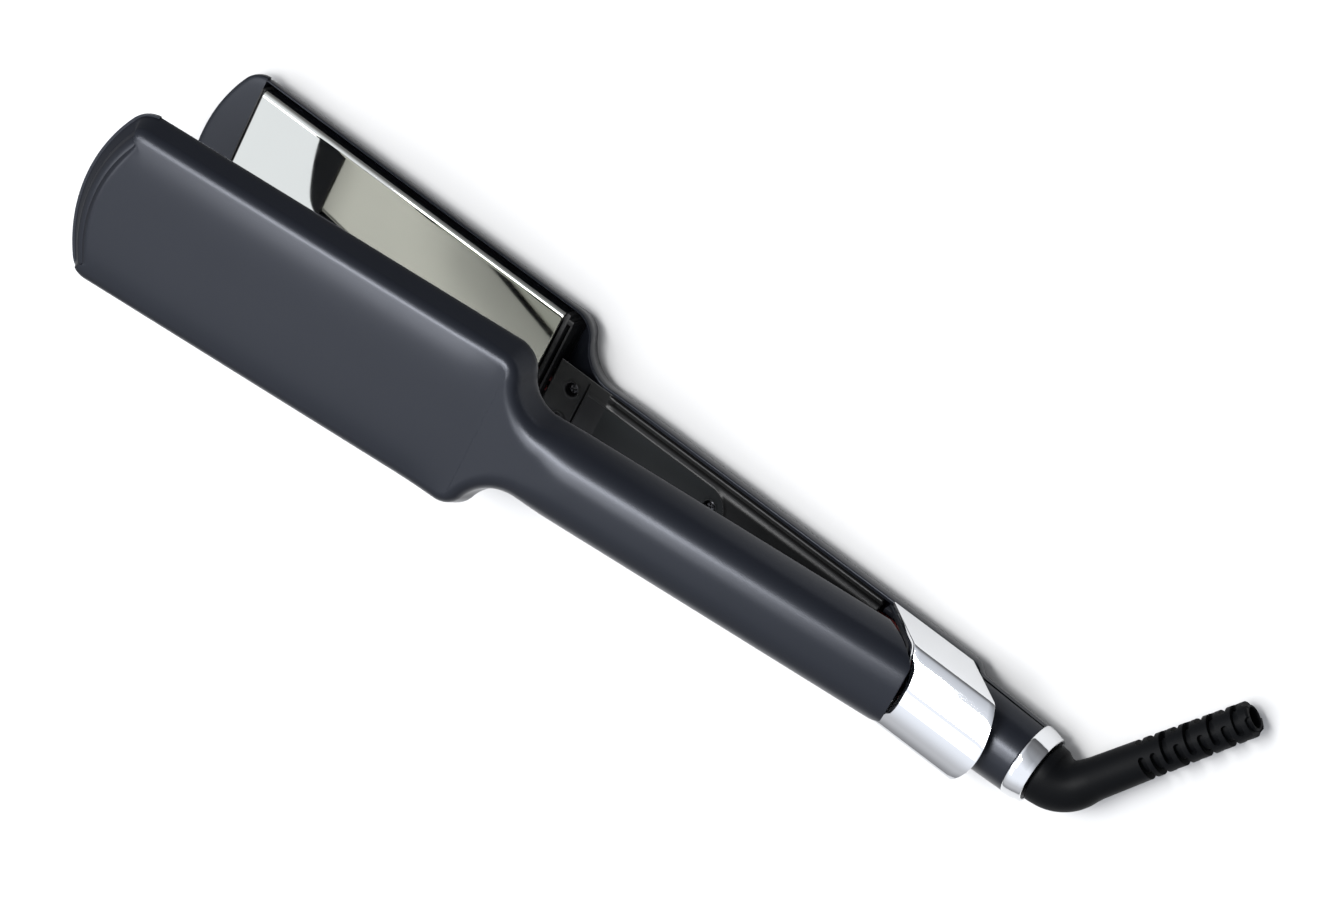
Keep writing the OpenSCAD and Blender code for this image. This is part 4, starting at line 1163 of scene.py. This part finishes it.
@dataclass
class HingeCover:
    """Bright cover over the hinge: flat flanks, a barrel top and leaning ends."""

    half_w: float = 14.0
    flank_top: float = 24.5
    top: float = 29.0
    low: float = 11.0
    crease_r: float = 1.0
    thick: float = 1.3
    edge_r: float = 0.35

    @property
    def crown_r(self) -> float:
        """Radius of the barrel."""
        rise = self.top - self.flank_top
        return (self.half_w ** 2 + rise ** 2) / (2 * rise)

    def curve(self, inset: float, n_top: int = 44) -> Points:
        """Section from the +Y foot over the top to the -Y foot, drawn in by inset."""
        r = self.crown_r - inset
        half = self.half_w - inset
        c = self.top - self.crown_r
        a_max = math.asin(half / r)
        z_corner = c + r * math.cos(a_max)
        flank = [(half, z) for z in np.linspace(self.low, z_corner - self.crease_r, 8)]
        corner = np.array([half, z_corner])
        before = np.array([half, z_corner - self.crease_r])
        a_in = a_max - self.crease_r / r
        after = np.array([r * math.sin(a_in), c + r * math.cos(a_in)])
        bend = [tuple((1 - t) ** 2 * before + 2 * t * (1 - t) * corner + t * t * after)
                for t in np.linspace(0, 1, 9)[1:]]
        barrel = [(r * math.sin(a), c + r * math.cos(a)) for a in np.linspace(a_in, 0, n_top // 2)[1:]]
        right = np.array(flank + bend + barrel)
        return np.r_[right, (right[:-1] * np.array([-1, 1]))[::-1]]

    def sheet(self, skin: Skin, outer: float, inner: float, ahead: float, behind: float, edge: float) -> None:
        """Adds a bent wall between two insets.

        Args:
            skin: Where the faces go.
            outer: Inset of its outer face.
            inner: Inset of its inner face.
            ahead: How far it stands ahead of the cover's front.
            behind: How far it ends before the cover's back.
            edge: Radius of its edges.
        """
        turn = quarter(5)
        length = SIZES.cover_len - behind
        rings = []

        def rounded(face: float, side: int, front: bool, angles: Points) -> None:
            for u in angles:
                curve = self.curve(face + side * edge * (1 - math.sin(u)))
                x, lead = SIZES.cover_front(curve[:, 1]), edge * (1 - math.cos(u))
                rings.append(np.c_[x - ahead + lead if front else x + length - lead, curve])

        rounded(outer, 1, True, turn)
        curve = self.curve(outer)
        x = SIZES.cover_front(curve[:, 1])
        rings += [np.c_[mix(x - ahead, x + length, share), curve] for share in np.linspace(0.08, 0.92, 10)]
        rounded(outer, 1, False, turn[::-1])
        rounded(inner, -1, False, turn)
        rounded(inner, -1, True, turn[::-1])
        skin.wall(np.array(rings))

    def build(self) -> None:
        """Makes the cover."""
        skin = Skin()
        self.sheet(skin, 0.0, self.thick, 0.0, 0.0, self.edge_r)
        made = skin.build("hinge_cover_shell", Side.LOWER, 45)
        dress(made, "chrome", Body.BASE, "chrome", "hinge_cover")


@dataclass
class TailTop:
    """Black upper half of the tail, with the housing under the bright cover."""

    lip: float = 0.6
    inset: float = 1.35
    housing_t: float = 1.4
    skirt: float = 12.0
    skirt_t: float = 1.2
    seam: float = 0.12
    wall: float = 1.5
    end_round: float = 0.35
    opening_r: float = 11.2
    behind: tuple[float, float] = (2.4, 0.8)
    edge_r: float = 0.3

    def cone(self, skin: Skin) -> None:
        """Adds the half cone behind the cover."""
        s = SIZES
        start = s.tail_start + 1
        angles = np.linspace(0, math.pi, 61)

        def ring(x: float, pinch: float) -> Points:
            r = mix(s.tail_r, s.tail_end_r, (x - start) / (s.tail_x - start)) - pinch
            z = s.tail_z + self.seam + pinch * 0.6
            return np.stack([np.full(61, x), r * np.cos(angles), z + (r - self.seam) * np.sin(angles)], 1)

        rings = [ring(x, 0.0) for x in (start, *np.linspace(start + 1, s.tail_x - 0.4, 14))]
        rings += [ring(s.tail_x - self.end_round * (1 - math.sin(u)), self.end_round * (1 - math.cos(u)))
                  for u in np.linspace(0.3, math.pi / 2, 4)]
        for x in (s.tail_x, start):
            inner = ring(x, self.wall)
            inner[:, 2] = np.maximum(inner[:, 2] - self.wall * 0.6, s.tail_z + self.seam)
            rings.append(inner)
        skin.wall(np.array(rings))

    def back_wall(self, skin: Skin, cover: HingeCover) -> None:
        """Adds the leaning wall that closes the cover's back round the cone."""
        curve = cover.curve(self.inset)
        curve = curve[curve[:, 1] > SIZES.tail_z]
        centre = np.array([0.0, SIZES.tail_z])
        outer, inner = [], []
        for behind in self.behind:
            x = SIZES.cover_front(curve[:, 1]) + SIZES.cover_len - behind
            outer.append(np.c_[x, curve])
            d = curve - centre
            size = np.linalg.norm(d, axis=1, keepdims=True)
            p = centre + d / size * np.minimum(size - 0.05, self.opening_r)
            inner.insert(0, np.c_[x + SIZES.cover_slope * (p[:, 1] - curve[:, 1]), p])
        skin.wall(np.array(outer + inner))

    def build(self, cover: HingeCover) -> None:
        """Makes the tail's top."""
        skin = Skin()
        cover.sheet(skin, self.inset, self.inset + self.housing_t, self.lip, self.behind[1], self.edge_r)
        self.cone(skin)
        self.back_wall(skin, cover)
        x0, x1 = SIZES.cover_x0 - self.lip, SIZES.tail_start - 0.5
        for s in (-1, 1):
            y0, y1 = sorted((s * self.skirt, s * (self.skirt - self.skirt_t)))
            block(skin, (x0, y0, SIZES.rim_z - 3), (x1, y1, SIZES.rim_z + 3))
        made = skin.build("tail_top", Side.LOWER, 40)
        dress(made, "satin", Body.BASE, "satin_black", "tail_cover")


@dataclass
class TailCollar:
    """Bright ring that ends the tail."""

    width: float = 6.0
    front_r: float = 11.6
    back_r: float = 10.8
    bore_r: float = 9.75

    def build(self) -> None:
        """Makes the collar."""
        x, f, b, r = SIZES.tail_x, self.front_r, self.back_r, self.bore_r
        w = self.width
        outline = [(r, x + 0.02), (f - 0.35, x + 0.02), (f - 0.12, x + 0.1), (f, x + 0.32), (f - 0.02, x + 0.9)]
        outline += [(mix(f, b, t) + 0.12 * math.sin(math.pi * t), x + mix(0.9, w - 0.9, t))
                    for t in np.linspace(0.1, 0.9, 9)]
        outline += [(b, x + w - 0.5), (b - 0.15, x + w - 0.15), (b - 0.45, x + w - 0.02), (r + 0.35, x + w - 0.02),
                    (r + 0.1, x + w - 0.15), (r, x + w - 0.45), (r, x + 0.02)]
        skin = Skin()
        turned(skin, outline, (0, 0, SIZES.tail_z), "x", 96)
        made = skin.build("tail_ring", Side.LOWER, 40)
        dress(made, "chrome", Body.BASE, "chrome", "tail_collar")


@dataclass
class CordBoot:
    """Rubber elbow that turns in the tail, with a slotted leg for the cord."""

    start: float = 252.66
    turn_deg: float = -5.0
    root_r: float = 9.2
    neck_r: float = 6.2
    end_r: float = 5.2
    straight: float = 3.0
    bend_r: float = 10.0
    bend_deg: float = 57.0
    leg: float = 55.0
    bore_r: float = 3.1
    bore_len: float = 47.0
    core_r: float = 2.0
    socket_r: float = 6.6
    socket_len: float = 4.5
    slot_order: str = "sscscscscs"
    slot_t: float = 2.2
    slot_first: float = 21.3
    slot_pitch: float = 3.72
    slot_floor: float = 3.7
    slot_half_deg: float = 71.0
    slot_turn: dict[str, float] = field(default_factory=lambda: {"c": 57.0, "s": 147.0})

    @property
    def bend_len(self) -> float:
        """Length of the bend's centre line."""
        return math.radians(self.bend_deg) * self.bend_r

    @property
    def length(self) -> float:
        """Length of the whole centre line."""
        return self.straight + self.bend_len + self.leg

    def spine(self, s: float) -> tuple[float, float, float]:
        """Place and heading of the centre line, as (x, y, angle), at length s."""
        if s <= self.straight:
            return s, 0.0, 0.0
        a = min(s - self.straight, self.bend_len) / self.bend_r
        x = self.straight + self.bend_r * math.sin(a)
        y = self.bend_r * (1 - math.cos(a))
        rest = max(0.0, s - self.straight - self.bend_len)
        return x + rest * math.cos(a), y + rest * math.sin(a), a

    def radius(self, s: float) -> float:
        """Outer radius at length s."""
        flow = float(smooth((s - 1.0) / 17.0))
        leg = mix(self.neck_r, self.end_r, max(0.0, s - 14) / (self.length - 14))
        return mix(self.root_r, leg, flow ** 0.8)

    def rings(self, profile: Sequence[tuple[float, float]], steps: int = 72) -> Points:
        """Rings of given radius at given lengths along the centre line."""
        angles = np.linspace(0, 2 * math.pi, steps, endpoint=False)
        made = []
        for s, r in profile:
            x, y, a = self.spine(s)
            c = r * np.cos(angles)
            made.append(np.stack([x - c * math.sin(a), y + c * math.cos(a), r * np.sin(angles)], 1))
        return np.array(made)

    def put(self, made: bpy.types.Object) -> None:
        """Turns a mesh drawn from the boot's root into its place on the tail."""
        made.data.transform(Matrix.Translation((self.start * MM, 0, SIZES.tail_z * MM))
                            @ Matrix.Rotation(math.radians(self.turn_deg), 4, "X"))

    def slot(self, skin: Skin, centre_deg: float, half_deg: float) -> None:
        """Adds a curved slot cutter with rounded ends.

        Args:
            skin: Where the faces go.
            centre_deg: Direction of its middle round the leg, 90 being straight up.
            half_deg: Half of the angle that it spans.
        """
        limit = math.radians(half_deg)
        tip = self.slot_t / 2 / 5.4
        angles = np.r_[-limit + tip * (1 - np.cos(quarter(6))),
                       np.linspace(-limit + tip, limit - tip, 24)[1:-1],
                       limit - tip * (1 - np.cos(quarter(6)[::-1]))]
        rows = []
        for a in angles:
            gone = min(1.0, max(0.0, abs(a) - (limit - tip)) / tip)
            w = max(0.02, self.slot_t / 2 * math.sqrt(1 - gone ** 2))
            b = a + math.radians(centre_deg)
            rows.append([(x, r * math.cos(b), r * math.sin(b))
                         for x, r in ((-w, self.slot_floor), (w, self.slot_floor), (w, 8.0), (-w, 8.0))])
        skin.tube(np.array(rows))

    def cutter(self, kind: str) -> bpy.types.Object:
        """The pair of cutters of one ring: "c" crosses the leg's face and "s" is on its sides."""
        skin = Skin()
        for half_turn in (0.0, 180.0):
            self.slot(skin, self.slot_turn[kind] + half_turn, self.slot_half_deg)
        return skin.build(f"slot_{kind}")

    def build(self) -> None:
        """Makes the boot."""
        end = self.length
        outer = [(0.0, self.socket_r), (0.0, self.root_r - 0.5), (0.12, self.root_r - 0.15), (0.45, self.root_r)]
        outer += [(s, self.radius(s)) for s in (*np.linspace(1, 20, 40), *np.linspace(21, end - 0.7, 60))]
        r = self.end_r
        outer += [(end - 0.4, r - 0.08), (end - 0.12, r - 0.3), (end, r - 0.65)]
        bore = [(end, self.bore_r + 0.3), (end - 0.15, self.bore_r + 0.08), (end - 0.5, self.bore_r)]
        bore += [(s, self.bore_r) for s in np.linspace(end - 2, end - self.bore_len, 14)]
        bore += [(end - self.bore_len, self.core_r + 0.2), (end - self.bore_len - 1, self.core_r),
                 (self.straight + 5, self.core_r), (self.socket_len, self.core_r),
                 (self.socket_len, self.socket_r - 0.05), (0.0, self.socket_r)]
        skin = Skin()
        skin.grid(self.rings(outer + bore), round_columns=True)
        made = skin.build("cord_boot_sleeve", Side.LOWER, 40)
        x, y, a = self.spine(self.straight + self.bend_len)
        for kind in "cs":
            places = [(self.slot_first + k * self.slot_pitch, 0.0, 0.0)
                      for k, each in enumerate(self.slot_order) if each == kind]
            row = repeated(f"boot_slots_{kind}", self.cutter(kind), np.array(places), np.zeros((len(places), 3)),
                           "rubber")
            row.data.transform(Matrix.Translation((x * MM, y * MM, 0)) @ Matrix.Rotation(a, 4, "Z"))
            cutters = closed(row.data, f"boot_cut_{kind}")
            bpy.data.objects.remove(row)
            carved(made, cutters)
        self.put(made)
        dress(made, "rubber", Body.CORD, "rubber", "cord_boot")


# --- controls


@dataclass
class PressButton:
    """A domed button with a plain raised mark, guided by the upper liner."""

    body: Body
    x: float
    r: float
    low: float = 4.0
    rim: float = 4.55
    top: float = 8.1
    dish: float = 0.18
    mark_half: float = 1.0
    mark_half_w: float = 0.16

    def build(self) -> None:
        """Makes the button."""
        r, t = self.r, self.top
        outline = [(0, self.low), (r + 0.6, self.low), (r + 0.7, self.low + 0.1), (r + 0.7, self.rim - 0.1),
                   (r + 0.6, self.rim), (r, self.rim), (r, t - 0.45), (r - 0.1, t - 0.18), (r - 0.35, t - 0.02),
                   (r - 0.6, t)]
        outline += [(q, t - self.dish * (1 - (q / (r - 0.6)) ** 2)) for q in np.linspace(r - 0.9, 0, 7)]
        skin = Skin()
        turned(skin, outline, (self.x, 0, 0), steps=72)
        self.mark(skin)
        made = skin.build(f"{self.body.value}_cap", Side.UPPER, 40)
        dress(made, "panel", self.body, "liner_black", self.body.value)

    def mark(self, skin: Skin) -> None:
        """Adds the raised mark: a bar, a cross or a ring."""
        z0, z1 = self.top - self.dish - 0.1, self.top - 0.02
        x, u, v = self.x, self.mark_half, self.mark_half_w
        if self.body is Body.POWER:
            turned(skin, [(1.15, z0), (1.35, z0), (1.32, z1), (1.18, z1), (1.15, z0)], (x, 0, 0), steps=48)
            return
        block(skin, (x - v, -u, z0), (x + v, u, z1))
        if self.body is Body.PLUS:
            for a, b in ((-u, -v), (v, u)):
                block(skin, (x + a, -v, z0), (x + b, v, z1))


class InnerParts:
    """Finishes for the frame's own pieces that stay in sight or inside."""

    FINISHES = {
        "ceramic": ("lower_heater", "upper_heater"),
        "steel": ("lower_heater_spring", "upper_heater_spring", "hinge_frame", "hinge_pin", "opening_spring",
                  "hinge_arm", "button_switches"),
        "brass": ("lower_thermistor", "thermal_fuse", "hinge_bushes", "contact_rings", "contact_brushes"),
        "sleeve": ("lower_leads", "upper_leads"),
        "heat": ("swivel_bush", "swivel_core"),
        "board": ("circuit_board",),
        "clear": ("light_pipe",),
    }

    def build(self) -> None:
        """Gives each piece its finish."""
        for finish, nodes in self.FINISHES.items():
            for node in nodes:
                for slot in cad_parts[node].material_slots:
                    slot.material = PALETTE[finish]
                LOG.info("%s: finish %s", node, finish)


# --- studio


def stand(name: str, data: bpy.types.ID, axes: Sequence[Sequence[float]], at: Sequence[float]) -> bpy.types.Object:
    """Puts a lamp or a camera at a place, with its own axes given; it looks down the third one."""
    made = linked(name, data)
    rows = [[float(v[k]) for v in (*axes, at)] for k in range(3)]
    made.matrix_world = Matrix([*rows, [0, 0, 0, 1]])
    return made


@dataclass
class Lamp:
    """One soft lamp, in metres and watts."""

    name: str
    at: tuple[float, float, float]
    to: tuple[float, float, float]
    size: tuple[float, float]
    watts: float

    def build(self) -> None:
        """Adds the lamp."""
        data = bpy.data.lights.new(self.name, "AREA")
        data.shape = "RECTANGLE"
        data.size, data.size_y = self.size
        data.energy = self.watts
        back = np.array(self.at) - np.array(self.to)
        back /= np.linalg.norm(back)
        wide = np.array([1.0, 0.0, 0.0]) - back[0] * back
        wide /= np.linalg.norm(wide)
        stand(self.name, data, (wide, np.cross(back, wide), back), self.at)


@dataclass
class Studio:
    """Pale floor, soft lamps, plain world and the camera, in metres."""

    eye: tuple[float, float, float] = (0.450508, 0.505059, 0.989245)
    right: tuple[float, float, float] = (0.763997, 0.427453, -0.483314)
    down: tuple[float, float, float] = (0.57236, -0.794773, 0.201842)
    ahead: tuple[float, float, float] = (-0.297847, -0.430836, -0.851861)
    lens: float = 3932.02 / 1342 * 36
    floor_z: float = -0.0002
    floor_half: float = 4.0
    ceiling_level: float = 1.3
    ceiling: tuple[tuple[float, Colour], ...] = (
        (0.0, (0.28, 0.285, 0.30)), (0.80, (0.92, 0.96, 1.04)), (0.34, (0.52, 0.53, 0.56)))
    right_side: float = 0.34
    side_way: tuple[float, float, float] = (0.5, 0.85, 0.0)
    side_reach: tuple[float, float] = (0.1, 0.6)
    glow: float = 0.06
    far_glow: float = 0.7
    glow_from: tuple[float, float] = (0.45, 1.1)
    paper: float = 0.46
    # The next four fields set painted shade on the floor, seen only in reflections and bounced light: darker towards
    # -X, with a bright gap kept on the -Y side.
    painted_shade_tone: float = 0.10
    painted_shade_x: tuple[float, float] = (0.05, 0.17)
    shade_gap_x: tuple[float, float] = (-0.16, -0.12)
    shade_gap_y: tuple[float, float] = (0.055, 0.02)
    lamps: tuple[Lamp, ...] = (
        Lamp("key", (-0.55, -0.22, 1.0), (0.0, 0.0, 0.0), (0.42, 0.38), 2.6),
        Lamp("face_soft", (-0.05, -0.50, 1.0), (0.0, 0.0, 0.0), (0.56, 0.4), 0.75),
        Lamp("edge_strip", (0.08, 0.28, 1.0), (0.04, 0.0, 0.0), (0.40, 0.16), 9.0),
        Lamp("middle_glow", (0.085, 0.09, 1.04), (0.04, 0.0, 0.0), (0.38, 0.20), 3.4),
        Lamp("inner_glow", (0.09, -0.11, 1.05), (0.04, 0.0, 0.0), (0.36, 0.18), 2.4),
        Lamp("rib_light", (-0.22, 0.44, 0.98), (0.10, 0.0, 0.0), (0.42, 0.12), 4.2),
    )

    def camera(self) -> None:
        """Adds the camera."""
        data = bpy.data.cameras.new("view")
        data.sensor_width = 36.0
        data.lens = self.lens
        data.clip_start, data.clip_end = 0.01, 20.0
        r, d, f = (np.array(v) for v in (self.right, self.down, self.ahead))
        bpy.context.scene.camera = stand("view", data, (r, -d, -f), self.eye)

    def floor(self) -> None:
        """Adds the floor: white to the camera, with the object's shadow kept; in reflections and bounced light it
        carries painted shade, darker towards -X.
        """
        skin = Skin()
        half, z = self.floor_half / MM, self.floor_z / MM
        skin.grid(np.array([[(-half, -half, z), (half, -half, z)], [(-half, half, z), (half, half, z)]]))
        made = skin.build("floor")
        g = Surface("floor_paper", Roughness=0.9, Specular_IOR_Level=0.0)
        eased = {"interpolation_type": "SMOOTHSTEP"}
        split, path = g.add("ShaderNodeSeparateXYZ"), g.add("ShaderNodeLightPath")
        away = g.add("ShaderNodeVectorMath", operation="LENGTH")
        g.join((g.coords, "Object", split, "Vector"), (g.coords, "Object", away, "Vector"))
        # Painted shade: away from the camera the floor darkens towards -X, save a bright gap on the -Y side, so the
        # tool mirrors shade there.
        painted_shade = g.ranged(split, "X", self.painted_shade_tone, self.paper, *self.painted_shade_x, **eased)
        near = g.ranged(split, "Y", 0.0, 1.0, *self.shade_gap_y, **eased)
        ahead = g.ranged(split, "X", 0.0, self.paper, *self.shade_gap_x, **eased)
        rise = g.ranged(away, "Value", self.glow, self.far_glow, *self.glow_from, **eased)
        shade_gap = g.math("MULTIPLY", (near, "Result"), (ahead, "Result"))
        light = g.math("MAXIMUM", (painted_shade, "Result"), (shade_gap, "Value"))
        seen = g.math("MULTIPLY", (path, "Is Camera Ray"), self.paper)
        tone = g.math("MAXIMUM", (light, "Value"), (seen, "Value"))
        scale = g.math("MULTIPLY", (path, "Is Camera Ray"), (rise, "Result"))
        glow, both = g.add("ShaderNodeEmission"), g.add("ShaderNodeAddShader")
        g.join((tone, "Value", g.shader, "Base Color"), (scale, "Value", glow, "Strength"), (g.shader, 0, both, 0),
               (glow, 0, both, 1), (both, 0, g.out, "Surface"))
        made.data.materials.append(g.material)

    def world(self) -> None:
        """Sets the surround: a soft bright ceiling over dim walls, plain white to the camera."""
        world = bpy.data.worlds.new("surround")
        bpy.context.scene.world = world
        world.use_nodes = True
        g = Graph(world.node_tree)
        out, path, way, split, rise, soft, pick = (g.add("ShaderNode" + kind) for kind in (
            "OutputWorld", "LightPath", "TexCoord", "SeparateXYZ", "ValToRGB", "Background", "MixShader"))
        rise.color_ramp.interpolation = "EASE"
        for k, (at, tone) in enumerate(self.ceiling):
            stop = rise.color_ramp.elements[k] if k < 2 else rise.color_ramp.elements.new(at)
            stop.position = at
            stop.color = (*tone, 1)
        seen = g.add("ShaderNodeBackground", {"Color": (1, 1, 1, 1)})
        across = g.add("ShaderNodeVectorMath", {1: self.side_way}, operation="DOT_PRODUCT")
        sides = g.ranged(across, "Value", self.ceiling_level, self.ceiling_level * self.right_side, *self.side_reach)
        g.join((way, "Generated", split, 0), (split, "Z", rise, "Fac"), (way, "Generated", across, 0),
               (rise, "Color", soft, "Color"), (sides, "Result", soft, "Strength"), (path, "Is Camera Ray", pick, 0),
               (soft, 0, pick, 1), (seen, 0, pick, 2), (pick, 0, out, 0))
        bpy.context.scene.view_settings.view_transform = "Standard"

    def build(self) -> None:
        """Sets up everything but the object."""
        self.camera()
        self.floor()
        self.world()
        for lamp in self.lamps:
            lamp.build()


# --- tool


@dataclass
class Straightener:
    """The whole tool."""

    studio: Studio = field(default_factory=Studio)
    cover: HingeCover = field(default_factory=HingeCover)

    def build(self) -> None:
        """Builds each sub-assembly in order."""
        self.studio.build()
        for side in Side:
            ArmShell(side).build()
            HeatedPlate(side).build()
            PlateHolder(side).build()
            liner = GripLiner(side)
            liner.build()
            LinerScrews(side).build(liner)
        self.cover.build()
        TailTop().build(self.cover)
        TailCollar().build()
        CordBoot().build()
        for body, x, r in ((Body.POWER, 91.86, 3.2), (Body.MINUS, 101.36, 2.7), (Body.PLUS, 109.36, 2.7)):
            PressButton(body, x, r).build()
        InnerParts().build()


def main() -> None:
    """Builds the tool."""
    logging.basicConfig(level=logging.INFO, format="%(message)s")
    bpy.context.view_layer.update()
    Straightener().build()


if __name__ == "__main__":
    main()
